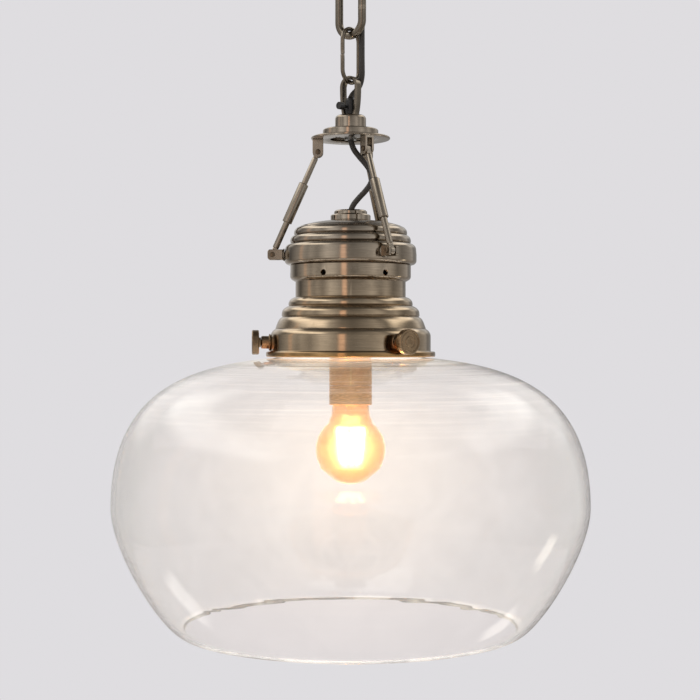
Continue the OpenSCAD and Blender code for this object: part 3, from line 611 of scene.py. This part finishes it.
def oval_path(bar, length, width, n=28):
    ring, leg = (width - bar) / 2, length - width
    pts = [(ring * math.cos(a), 0, ring + leg + ring * math.sin(a)) for a in (math.pi * k / n for k in range(n + 1))]
    pts += [(-ring, 0, ring + leg * (1 - k / 6)) for k in range(1, 6)]
    pts += [(ring * math.cos(a), 0, ring + ring * math.sin(a)) for a in (math.pi + math.pi * k / n for k in range(n + 1))]
    pts += [(ring, 0, ring + leg * k / 6) for k in range(1, 6)]
    return [(x * MM, y * MM, z * MM) for x, y, z in pts], n


def hung(z, angle):
    return move(0, 0, z) @ turn(-angle)


for name, z, angle, body in (("chain_link_0", HANGS[1], -52, "link_0"), ("chain_link_1", HANGS[2], 38, "link_1")):
    pts, _ = oval_path(7, 52, 32)
    link = Piece(hung(z, angle)).add(sweep(pts, 3.5 * MM, 28, True))
    weld = [(12.5 * MM, 0, (12.5 + 20 * k / 8) * MM) for k in range(3, 6)]
    link.add(sweep(weld, 0, 28, radii=[3.45 * MM, 3.62 * MM, 3.45 * MM]))
    link.make(name + "_bar", body, cast_metal, "nickel_brass", [name], 60)

BAR = 3.6
pts, n = oval_path(BAR, 50, 25)
split = n + 3
rolled = pts[split + 1:] + pts[:split]
gap_top, gap_low = Vector(pts[split]) + Vector((0, 0, 0.4 * MM)), Vector(pts[split]) - Vector((0, 0, 0.4 * MM))
ends = [tuple(gap_low + Vector((0.25 * MM, 0.35 * MM, 0)))] + rolled + [tuple(gap_top - Vector((0.2 * MM, 0.3 * MM, 0)))]
Piece(hung(HANGS[3], -50)).add(sweep(ends, BAR / 2 * MM, 24)).make("connector_link_bar", "link_2", cast_metal, "nickel_brass", ["connector_link"], 60)

loop = [(-9, 0, 25.2), (-9, 0, 17)] + [(9 * math.cos(a), 0, 9 + 9 * math.sin(a)) for a in (math.pi + math.pi * k / 28 for k in range(29))] + [(9, 0, 17), (9, 0, 25.2)]
Piece(hung(HANGS[0], 38)).add(sweep([(x * MM, y * MM, z * MM) for x, y, z in loop], 3 * MM, 24)).make(
    "canopy_loop_wire", "ceiling_fitting", cast_metal, "nickel_brass", ["canopy_loop"], 60)

# Hub

BOW_TOP, BOW_W, BOW_T, STRAP = -203.3, 18.8, 2.6, 6.8
foot = BASE + 208.9
DRAW = 2.4
top = BOW_TOP - foot - BOW_W / 2


def bow_line(r, n=40):
    side = bezier((r, top), (r, top / 2), (r - DRAW / 2, top / 4), (r - DRAW, 0), 12, 1)
    return [(-x, z) for x, z in side[::-1]] + arc(0, top, r, 180, 0, n) + side


def strap(outer, inner, width, bevel):
    """A flat strap bent along Y between two lines, with rounded long edges."""
    verts, faces, m = [], [], len(outer)
    steps = 5
    profile = []
    for cu, cv, a0 in ((0, -1, 180), (1, -1, 270), (1, 1, 0), (0, 1, 90)):
        for k in range(steps):
            a = math.radians(a0 + 90 * k / (steps - 1))
            profile.append((cu, cv, math.cos(a), math.sin(a)))
    for i in range(m):
        o, p = Vector(outer[i]), Vector(inner[i])
        d = (o - p)
        t = d.length
        d.normalize()
        for cu, cv, dx, dy in profile:
            along = (bevel if cu == 0 else t - bevel) + bevel * dx
            across = cv * (width / 2 - bevel) + bevel * dy
            q = p + d * along
            verts.append((q[0] * MM, across * MM, q[1] * MM))
    w = len(profile)
    for i in range(m - 1):
        for k in range(w):
            q = (k + 1) % w
            faces.append([i * w + k, i * w + q, (i + 1) * w + q, (i + 1) * w + k])
    faces += [list(range(w)), [(m - 1) * w + k for k in range(w)][::-1]]
    return verts, faces


Piece(move(0, 0, foot) @ turn(-39)).add(strap(bow_line(BOW_W / 2), bow_line(BOW_W / 2 - BOW_T), STRAP, 0.55)).make(
    "hanging_bow_strap", "pendant", cast_metal, "nickel_brass", ["hanging_bow"], 60)

grip = Piece(move(0, 0, foot)).add(revolve(eased([(2.6, 0), (4.4, 0), (4.4, 12.8), (3.2, 14.8), (2.6, 14.8)], 0.4), 48))
for k in range(18):
    grip.add(prism([(4.3, 2), (4.58, 2), (4.58, 5), (4.3, 5)], 0.5, 0.06), turn(20 * k))
grip.make("cord_grip_moulded", "pendant", black_plastic, "black_plastic", ["cord_grip"])

at_screw = turn(225) @ move(0, 0, BASE + 215.9) @ turn(90, "Y")
head = Piece(at_screw).add(revolve(eased([(0, 2.65), (1.25, 2.65), (1.25, 9.4), (3.2, 9.4), (3.2, 14.6), (2.4, 14.6), (2.4, 14.2), (0, 14.2)], 0.3), 40))
head.make("grip_screw_turned", "pendant", black_steel, "blackened_steel", ["grip_screw"])

lathe("hub_cap_turned", [(HOLE, 196.6), (13.4, 196.6), (13.4, 205.7)] + arc(10.2, 205.7, 3.2, 0, 90, 10)[1:] + [(HOLE, 208.9)],
      "pendant", spun_metal, "nickel_brass", ["hub_cap"], BASE)
lathe("hub_disc_turned", [(HOLE, 194.6), (22.2, 194.6), (22.2, 190), (24, 190), (24, 195.8), (23.2, 196.6), (HOLE, 196.6)],
      "pendant", spun_metal, "nickel_brass", ["hub_disc"], BASE, ease=0.5)
plate = lathe("top_plate_turned", [(17.5, 188), (33.6, 188), (34.2, 188.6), (34.2, 189.4), (33.6, 190), (17.5, 190)],
              "pendant", spun_metal, "nickel_brass", ["top_plate"], BASE, steps=192)
cut(plate, [(revolve([(0, 187), (1.3, 187), (1.3, 191), (0, 191)], 24), turn(az) @ move(20, 0, BASE)) for az in (-8, 112, 232)])

# Struts

ARMS = {"left": 180, "front": 300, "back": 60}
UPPER_R, UPPER_H, LOWER_R, LOWER_H = 28.2, 176.9, 67.5, 88.4
LEAN = math.degrees(math.atan((LOWER_R - UPPER_R) / (UPPER_H - LOWER_H)))
STRUT = math.hypot(LOWER_R - UPPER_R, UPPER_H - LOWER_H)
GAP, EAR, UPPER_EAR = 4.6, 2.3, 1.8


def round_foot(x, r, top, inner, outer):
    return [(inner, top), (inner, 0)] + arc(x, 0, r, 180, 360, 14)[1:-1] + [(outer, 0), (outer, top)]


upper, pins, low_pins, lower = Piece(), Piece(), Piece(), Piece()


def pin(ear):
    half = GAP / 2 + ear
    side = [(1.5, half + 0.1), (2.3, half + 0.15), (2.3, half + 0.95), (1.5, half + 1.2), (0, half + 1.25)]
    return revolve(eased([(r, -z) for r, z in side[::-1]] + side, 0.25), 32)


for az in ARMS.values():
    at = turn(az) @ move(0, 0, BASE + UPPER_H)
    for s in (-1, 1):
        upper.add(prism(round_foot(UPPER_R, 4.6, 11.05, UPPER_R - 4.6, UPPER_R + 4.6), UPPER_EAR), at @ move(0, s * (GAP + UPPER_EAR) / 2, 0))
    upper.add(prism([(23.6, 4.6), (26.4, 4.6), (26.4, 9.1), (34.0 - 1.2, 9.1), (32.8, 11.05), (23.6, 11.05)], GAP + 1.2, 0.3), at)
    pins.add(pin(UPPER_EAR), at @ move(UPPER_R) @ turn(90, "X"))
    at = turn(az) @ move(0, 0, BASE + LOWER_H)
    ear = [(58.6, -4.4)] + arc(69.4, -2.2, 2.2, -90, 0, 6) + arc(69.4, 2.2, 2.2, 0, 90, 6) + [(58.6, 4.4)]
    for s in (-1, 1):
        lower.add(prism(ear, EAR), at @ move(0, s * (GAP + EAR) / 2, 0))
    lower.add(prism([(58.6, -4.4), (60.8, -4.4), (60.8, 4.4), (58.6, 4.4)], GAP + 1.2, 0.2), at)
    lower.add(revolve(eased([(0, 51), (2, 51), (2, 57.1), (5.4, 57.1), (5.4, 57.9), (4.4, 58.8), (0, 58.8)], 0.25), 48), at @ turn(90, "Y"))
    low_pins.add(pin(EAR), at @ move(LOWER_R) @ turn(90, "X"))
upper.make("upper_clevises_bent", "pendant", drawn_metal, "nickel_brass", ["upper_clevises"])
pins.make("upper_pins_riveted", "pendant", bronze_pin, "dark_bronze", ["upper_pins"])
lower.make("lower_clevises_cast", "pendant", cast_metal, "nickel_brass", ["lower_clevises"])
low_pins.make("lower_pins_riveted", "pendant", bronze_pin, "dark_bronze", ["lower_pins"])


def strut_rod(r, length, neck, eye=3.4, t=4.2):
    p = [(r, -neck - 1.4), (r, -length + 0.4), (r - 0.4, -length), (0, -length), (0, -neck + 0.2), (1.6, -neck + 0.1), (r - 0.2, -neck - 0.4)]
    parts = [revolve(eased(p, 0.3), 40)]
    outline = arc(0, 0, eye, 0, 180, 16) + [(-2.3, -3.4), (-1.9, -neck - 0.4), (1.9, -neck - 0.4), (2.3, -3.4)]
    parts.append(prism(outline, t, 0.4))
    return parts


for side_name, az in ARMS.items():
    top = turn(az) @ move(UPPER_R, 0, BASE + UPPER_H) @ turn(-LEAN, "Y")
    bottom = top @ move(0, 0, -STRUT) @ turn(180, "X")
    p = Piece(top)
    for part in strut_rod(2.55, 46, 5):
        p.add(part)
    p.make(f"upper_rod_{side_name}_drawn", "pendant", drawn_metal, "nickel_brass", [f"upper_rod_{side_name}"])
    p = Piece(bottom)
    for part in strut_rod(2.75, STRUT - 50, 6):
        p.add(part)
    p.make(f"lower_rod_{side_name}_drawn", "pendant", drawn_metal, "nickel_brass", [f"lower_rod_{side_name}"])
    lathe(f"sleeve_{side_name}_turned", [(2.63, -29.7), (3.75, -29.7), (4.25, -30.2), (4.25, -65.9), (3.75, -66.4), (2.83, -66.4), (2.83, -48), (2.63, -48)],
          "pendant", drawn_metal, "nickel_brass", [f"sleeve_{side_name}"], steps=48, at=top)

# Gallery

lathe("cord_nut_turned", [(HOLE, 117.7), (16.9, 117.7), (17.3, 118.1), (17.3, 122.1), (16.5, 122.9), (14.3, 123.1), (14.3, 125.6), (13, 126.8),
                          (3.1, 126.8), (3.1, 124.7), (HOLE, 124.7)], "pendant", spun_metal, "nickel_brass", ["cord_nut"], BASE, ease=0.5)

W = 1.5
outer = [(HOLE, 117.65), (17.3, 117.65)] + bezier((17.3, 117.65), (26, 117.1), (35, 115.8), (43.4, 112.95), 10, 1) + [(43.9, 112.2)]
outer += bezier((45, 112.1), (46.8, 111.6), (48.9, 109.8), (48.9, 106.8), 10) + arc(47.2, 106.5, 1.7, 0, -75, 6)
outer += bezier((48.9, 104.7), (50.4, 104.4), (52.1, 102.6), (52.1, 99.9), 10) + arc(50.4, 99.4, 1.7, 0, -75, 6)
outer += bezier((52.6, 97.3), (54.6, 97), (56.4, 95.6), (56.6, 92.6), 10) + [(57, 88.4)] + arc(53.4, 83.2, 3.6, 0, -90, 8) + [(40, 79.6)]
inner = [(40, 81.1), (53, 81.1), (55.5, 84.6), (55.5, 91.9), (50.2, 96.2), (49.2, 97.4), (50.2, 100.4), (48.2, 102.9), (46.1, 104.3), (47, 107.2),
         (45.6, 109.6), (42.4, 111.3), (35.6, 113.7), (17.3, 116.2), (HOLE, 116.2)]
lathe("crown_spun", outer + inner, "pendant", spun_metal, "nickel_brass", ["crown"], BASE, steps=192)

outer = [(47.6, 51.6)] + bezier((47.6, 64.9), (49.4, 65.9), (52.1, 66.9), (52.1, 69.2), 10) + [(52.1, 78.75), (51.3, 79.55), (40, 79.55)]
inner = [(40, 78.05), (50.6, 78.05), (50.6, 69.2), (46.1, 67.2), (46.1, 53.1), (40, 53.1), (40, 51.6)]
vents = lathe("vent_collar_spun", outer + inner, "pendant", spun_metal, "nickel_brass", ["vent_collar"], BASE, steps=192)
cut(vents, [(revolve([(0, 44), (2.6, 44), (2.6, 58), (0, 58)], 32), turn(4 + 60 * i) @ move(0, 0, BASE + 70.9) @ turn(90, "Y")) for i in range(6)])

outer = [(40, 51.55)] + bezier((48, 51.55), (50.8, 51), (53.6, 49), (53.7, 45.6), 10) + arc(52.2, 45.2, 1.5, 0, -70, 6)
outer += bezier((54.3, 43.75), (57.2, 42.4), (59.4, 40.6), (59.5, 37.6), 10) + [(59.6, 35.6), (58.9, 34.7)]
outer += bezier((60, 34), (62, 32.8), (63, 30.2), (64, 27.4), 10) + [(65, 24.6), (64.9, 24)] + bezier((65.4, 24), (67.2, 23), (69.2, 20.6), (69.2, 17.6), 10)
outer += [(69.2, 5.4), (69.8, 4.8)] + arc(71.7, 3.4, 1.4, 90, 0, 5) + arc(71.7, 1.4, 1.4, 0, -90, 5) + [(67.4, 0)]
inner = [(67.4, 19), (66, 21), (62, 23.6), (60.6, 31), (57, 34), (56.8, 40), (51.2, 42.6), (51.6, 47.5), (49.2, 49.85), (40, 49.85)]
lathe("fitter_spun", outer + inner, "pendant", spun_metal, "nickel_brass", ["fitter"], BASE, steps=192)

SCREWS = {"left": 185, "front": 305, "back": 65}
boss = Piece()
for az in SCREWS.values():
    at = turn(az) @ move(0, 0, BASE + 12.7) @ turn(90, "Y")
    boss.add(revolve(eased([(2.6, 69.25), (7.2, 69.25), (7.2, 70.2), (6.9, 70.6), (5.5, 70.6), (5.5, 76.4), (4.9, 77.2), (2.6, 77.2)], 0.3), 48), at)
boss.make("boss_nuts_turned", "pendant", bronze, "dark_bronze", ["boss_nuts"])

for side_name, az in SCREWS.items():
    at = turn(az) @ move(0, 0, BASE + 12.7) @ turn(90, "Y")
    profile = [(0, 62.35), (1.8, 62.35), (2.5, 63.05), (2.5, 77.5), (4.2, 77.5), (4.2, 79.2), (10, 79.2), (10.6, 79.8), (10.6, 84.5), (10, 85.1), (9, 85.1),
               (8.6, 84.75), (8.2, 84.75), (7.8, 85.1), (5.2, 85.1), (4.9, 84.75), (4.5, 84.75), (4.2, 85.1), (2.2, 85.1), (2.0, 84.9), (0, 84.9)]
    screw = Piece(at).add(revolve(eased(profile, 0.22), 96))
    screw.make(f"thumbscrew_{side_name}_turned", f"screw_{side_name}", bronze, "dark_bronze", [f"thumbscrew_{side_name}"])

# Glass shade

DROP, RIM, BELLY_R, NECK, WALL = 235, 145, 205, 62, 3.5
BELLY = -DROP * 0.54
outer = [(NECK + 2.4, 19.6), (NECK + 3.2, 18), (NECK + 2.4, 16.4), (NECK, 15.4)] + arc(NECK + 4.2, 3.5, 4.2, 180, 265, 8)
outer += bezier((NECK + 8, -0.9), (139, -8), (BELLY_R, -28), (BELLY_R, BELLY), 56)
outer += bezier((BELLY_R, BELLY), (BELLY_R, BELLY - 38), (RIM + 15, -DROP), (RIM, -DROP), 44, 1)
wall_line = [(NECK, 19.6), (NECK, 14.6)] + outer[4:]
inner = beside(wall_line, -WALL)
profile = outer + arc(RIM, -DROP + WALL / 2, WALL / 2, 240, 120, 8) + inner[::-1]
shade = Piece().add(revolve([(r, z + BASE) for r, z in profile], 256)).make("glass_shade_blown", "pendant", shade_glass, "clear_glass", ["glass_shade"])
shade.visible_shadow = False

# Lampholder

HOLDER = 18.5
lathe("holder_cap_turned", [(HOLE, 34), (8.5, 34), (8.5, 29)] + arc(13.5, 22.05, 5, 62, 0, 8) + [(17.3, 22.05), (8, 26.6), (HOLE, 26.6)],
      "pendant", warm_brass, "nickel_brass", ["holder_cap"], BASE)
lathe("holder_barrel_turned", [(17.3, -21.6), (HOLDER, -21.6), (HOLDER, 22), (17.3, 22)], "pendant", warm_brass, "nickel_brass", ["holder_barrel"], BASE)
lathe("holder_ring_turned", [(17.3, -22), (18.2, -22), (HOLDER, -22.4), (HOLDER, -24), (18.25, -24.3), (18.25, -25), (HOLDER, -25.3)]
      + arc(17.7, -38.1, 0.8, 0, -90, 4) + [(16.9, -38.9), (16.9, -37.7), (17.3, -36.5)], "pendant", warm_brass, "nickel_brass", ["holder_ring"], BASE, ease=0.2)

PITCH = 3.63


def threaded(r, top, turns, n=6):
    return [(r + 0.35 - 0.35 * math.cos(2 * math.pi * i / n), top - i * PITCH / n) for i in range(turns * n + 1)]


lathe("holder_thread_rolled", threaded(14.6, -1.6, 8) + threaded(13.7, -1.6, 8)[::-1], "pendant", bright_brass, "contact_brass", ["holder_thread"], BASE, ease=0.05)

# Bulb

BULB, BULB_FOOT = 30, -109.4
centre = BULB_FOOT + BULB
side = (BULB * math.cos(math.radians(30)), centre + BULB * math.sin(math.radians(30)))
outer = arc(0, centre, BULB, -90, 30, 36) + bezier(side, (side[0] - 4, side[1] + 6.9), (16.3, -54), (16.3, -46), 14, 1) + [(15.6, -38), (14.4, -34)]
inner = [(0, BULB_FOOT + 1)] + beside(outer, 1)[1:]
bulb = Piece().add(revolve([(r, z + BASE) for r, z in outer + inner[::-1]], 128)).make("bulb_glass_blown", "bulb", lamp_glass, "amber_glass", ["bulb_glass"])
bulb.visible_shadow = False
cap = [(6, -4.8), (9, -5.4), (11.6, -7)] + threaded(12.4, -7.4, 6) + [(14.3, -31.4), (14.3, -33.9), (12.4, -33.9), (11.4, -30), (11.4, -7.4), (6, -6.4)]
lathe("bulb_cap_rolled", cap, "bulb", steel, "plated_steel", ["bulb_cap"], BASE, ease=0.1)
stem = [(0, -33), (11.2, -33), (11.2, -34.6), (6, -36.4), (3.4, -41), (2.6, -48), (2.6, -62)] + arc(0, -64, 2.4, 10, -90, 6)
stem = lathe("bulb_stem_drawn", stem, "bulb", stem_glass, "clear_glass", ["bulb_stem"], BASE, steps=48, ease=0.2)
stem.visible_shadow = False

cage = Piece()
sticks = 8
for k in range(sticks):
    a = 2 * math.pi * k / sticks + 0.17
    low, top = (7.5, -94), (11.4, -60.4)
    pts = [((low[0] + (top[0] - low[0]) * t) * math.cos(a) * MM, (low[0] + (top[0] - low[0]) * t) * math.sin(a) * MM, (BASE + low[1] + (top[1] - low[1]) * t) * MM) for t in (0, 0.5, 1)]
    cage.add(sweep(pts, 1.15 * MM, 12))
for r, z in ((7.5, -94), (11.5, -60.25)):
    ring = [(r * math.cos(2 * math.pi * k / 48) * MM, r * math.sin(2 * math.pi * k / 48) * MM, (BASE + z) * MM) for k in range(48)]
    cage.add(sweep(ring, 0.5 * MM, 8, True))
cage = cage.make("bulb_filament_cage", "bulb", hot_wire, "filament", ["bulb_filaments"], 60)

# Stage and light

BACK = (0.737, 0.723, 0.745)


def stage_material(name, colour):
    n = Nodes(name)
    xyz = n.coords()
    n.link(n.ramp(n.noise(xyz, 3, 3), [(0.3, tuple(c * 0.98 for c in colour)), (0.7, colour)]), n.bsdf.inputs["Base Color"])
    n.set(Roughness=0.9, Emission_Color=(0.37, 0.362, 0.373, 1))
    # The eye and the glass see it as pale as the background, with its shadows
    rays = n.new("ShaderNodeLightPath")
    n.link(n.math("MAXIMUM", rays.outputs["Is Camera Ray"], rays.outputs["Is Transmission Ray"]), n.bsdf.inputs["Emission Strength"])
    return n.mat


mesh = bpy.data.meshes.new("floor")
mesh.from_pydata([(-4, -4, -2.4), (4, -4, -2.4), (4, 4, -2.4), (-4, 4, -2.4)], [], [(0, 1, 2, 3)])
floor = bpy.data.objects.new("floor", mesh)
scene.collection.objects.link(floor)
mesh.materials.append(stage_material("pale_floor", (0.74, 0.73, 0.75)))
floor.visible_glossy = False

world = bpy.data.worlds.new("studio")
scene.world = world
world.use_nodes = True
sky = Nodes("studio", world.node_tree)
direction = sky.new("ShaderNodeTexCoord").outputs["Generated"]
axes = sky.new("ShaderNodeSeparateXYZ")
sky.link(direction, axes.inputs[0])

# How bright the room is round the horizon: degrees from the camera's side towards +X, and the level
HORIZON = [(-180, 0.62), (-151, 0.56), (-129, 0.14), (-102, 0.62), (-89, 0.72), (-81, 0.55), (-74, 0.77),
           (-59, 0.51), (-42, 1.15), (-32, 1.0), (-17, 0.5), (4, 0.38), (31, 0.63), (46, 0.92), (65, 0.5),
           (80, 0.8), (100, 0.33), (136, 0.66), (143, 0.32)]
around = sky.math("ARCTAN2", axes.outputs["X"], sky.math("MULTIPLY", axes.outputs["Y"], -1))
ring = sky.ramp(sky.remap(around, 0, 1, -math.pi, math.pi), [((a + 180) / 360, (v / 1.2, v * 0.82, v * 0.805)) for a, v in HORIZON])
ring = sky.mix(1.0, ring, (1.2, 1.2, 1.2), "MULTIPLY")
height = axes.outputs["Z"]
level = sky.mix(sky.remap(height, 0, 1, 0.15, 0.45, True), ring, (0.76, 0.76, 0.76), "MULTIPLY")
level = sky.mix(sky.remap(height, 0, 1, 0.7, 0.97, True), level, (0.13, 0.127, 0.122))
level = sky.mix(sky.remap(height, 0, 1, -0.02, -0.5, True), level, (0.4, 0.37, 0.34))
level = sky.mix(sky.remap(height, 0, 1, -0.45, -1.0, True), level, (0.52, 0.47, 0.41))


def lobe(total, towards, power, colour):
    """A soft round light in the sky, narrower with a higher power."""
    dot = sky.new("ShaderNodeVectorMath", operation="DOT_PRODUCT")
    sky.link(direction, dot.inputs[0])
    dot.inputs[1].default_value = unit(towards)
    amount = sky.math("POWER", sky.math("MAXIMUM", dot.outputs["Value"], 0), power)
    return sky.mix(amount, total, colour, "ADD")


def panel(total, azimuth, half, fade, z, tall, soft, colour):
    """A light in the sky round an azimuth in degrees and a height, each with a flat part and a soft edge."""
    off = sky.math("ABSOLUTE", sky.math("SUBTRACT", around, math.radians(azimuth)))
    up = sky.math("ABSOLUTE", sky.math("SUBTRACT", height, z))
    shown = sky.math("MULTIPLY", sky.remap(off, 1, 0, math.radians(half), math.radians(fade), True), sky.remap(up, 1, 0, tall, soft, True))
    return sky.mix(shown, total, colour, "ADD")


level = panel(level, -97, 42, 62, 0.62, 0.05, 0.2, (2.0, 1.93, 1.8))
level = panel(level, 112, 30, 48, 0.62, 0.05, 0.2, (1.8, 1.74, 1.62))
level = panel(level, -147, 12, 30, 0.38, 0.1, 0.26, (0.5, 0.5, 0.49))
level = panel(level, 147, 12, 30, 0.38, 0.1, 0.26, (0.5, 0.5, 0.49))
level = panel(level, -12.5, 2.8, 6.5, 0, 0.35, 0.6, (1.15, 0.72, 0.5))
level = panel(level, -96, 2, 6, 0, 0.35, 0.6, (0.35, 0.18, 0.08))
level = panel(level, 114, 2, 6, -0.4, 0.04, 0.14, (2.6, 2.4, 2.0))
level = panel(level, -118, 3, 9, -0.62, 0.05, 0.13, (1.8, 1.72, 1.6))
level = panel(level, 128, 3, 8, -0.68, 0.03, 0.09, (1.7, 1.6, 1.45))
# What is seen through the glass: the pale background ahead, and a greyer room to the sides
rays = sky.new("ShaderNodeLightPath")
ahead = sky.mix(sky.remap(sky.math("ABSOLUTE", axes.outputs["X"]), 0, 1, 0.3, 0.7, True), (0.79, 0.735, 0.74), (0.5, 0.515, 0.5))
# A warm painted glow round the lamp, seen only through the glass
ahead = lobe(ahead, (-0.002, 1, -0.067), 270, (0.37, 0.275, 0.175))
level = sky.mix(rays.outputs["Is Transmission Ray"], level, ahead)
sky.link(sky.mix(rays.outputs["Is Camera Ray"], level, BACK), world.node_tree.nodes["Background"].inputs["Color"])


def area(name, at, towards, size, power, colour):
    data = bpy.data.lights.new(name, "AREA")
    data.shape = "RECTANGLE"
    data.size, data.size_y = size
    data.energy = power
    data.color = colour
    o = bpy.data.objects.new(name, data)
    o.location = at
    o.rotation_euler = (Vector(towards) - Vector(at)).to_track_quat("-Z", "Y").to_euler()
    o.visible_camera = False
    o.visible_glossy = False
    scene.collection.objects.link(o)
    return o


area("overhead", (-0.2, -0.5, 1.6), (0, 0, -0.42), (1.6, 1.2), 5, (1.0, 0.99, 0.97))

lamp = bpy.data.lights.new("bulb_light", "POINT")
lamp.energy = 0.85
lamp.color = (1.0, 0.56, 0.26)
lamp.shadow_soft_size = 0.014
lamp_obj = bpy.data.objects.new("bulb_light", lamp)
lamp_obj.location = (0, 0, (BASE - 78) * MM)
lamp_obj.visible_camera = False
lamp_obj.visible_transmission = False
scene.collection.objects.link(lamp_obj)
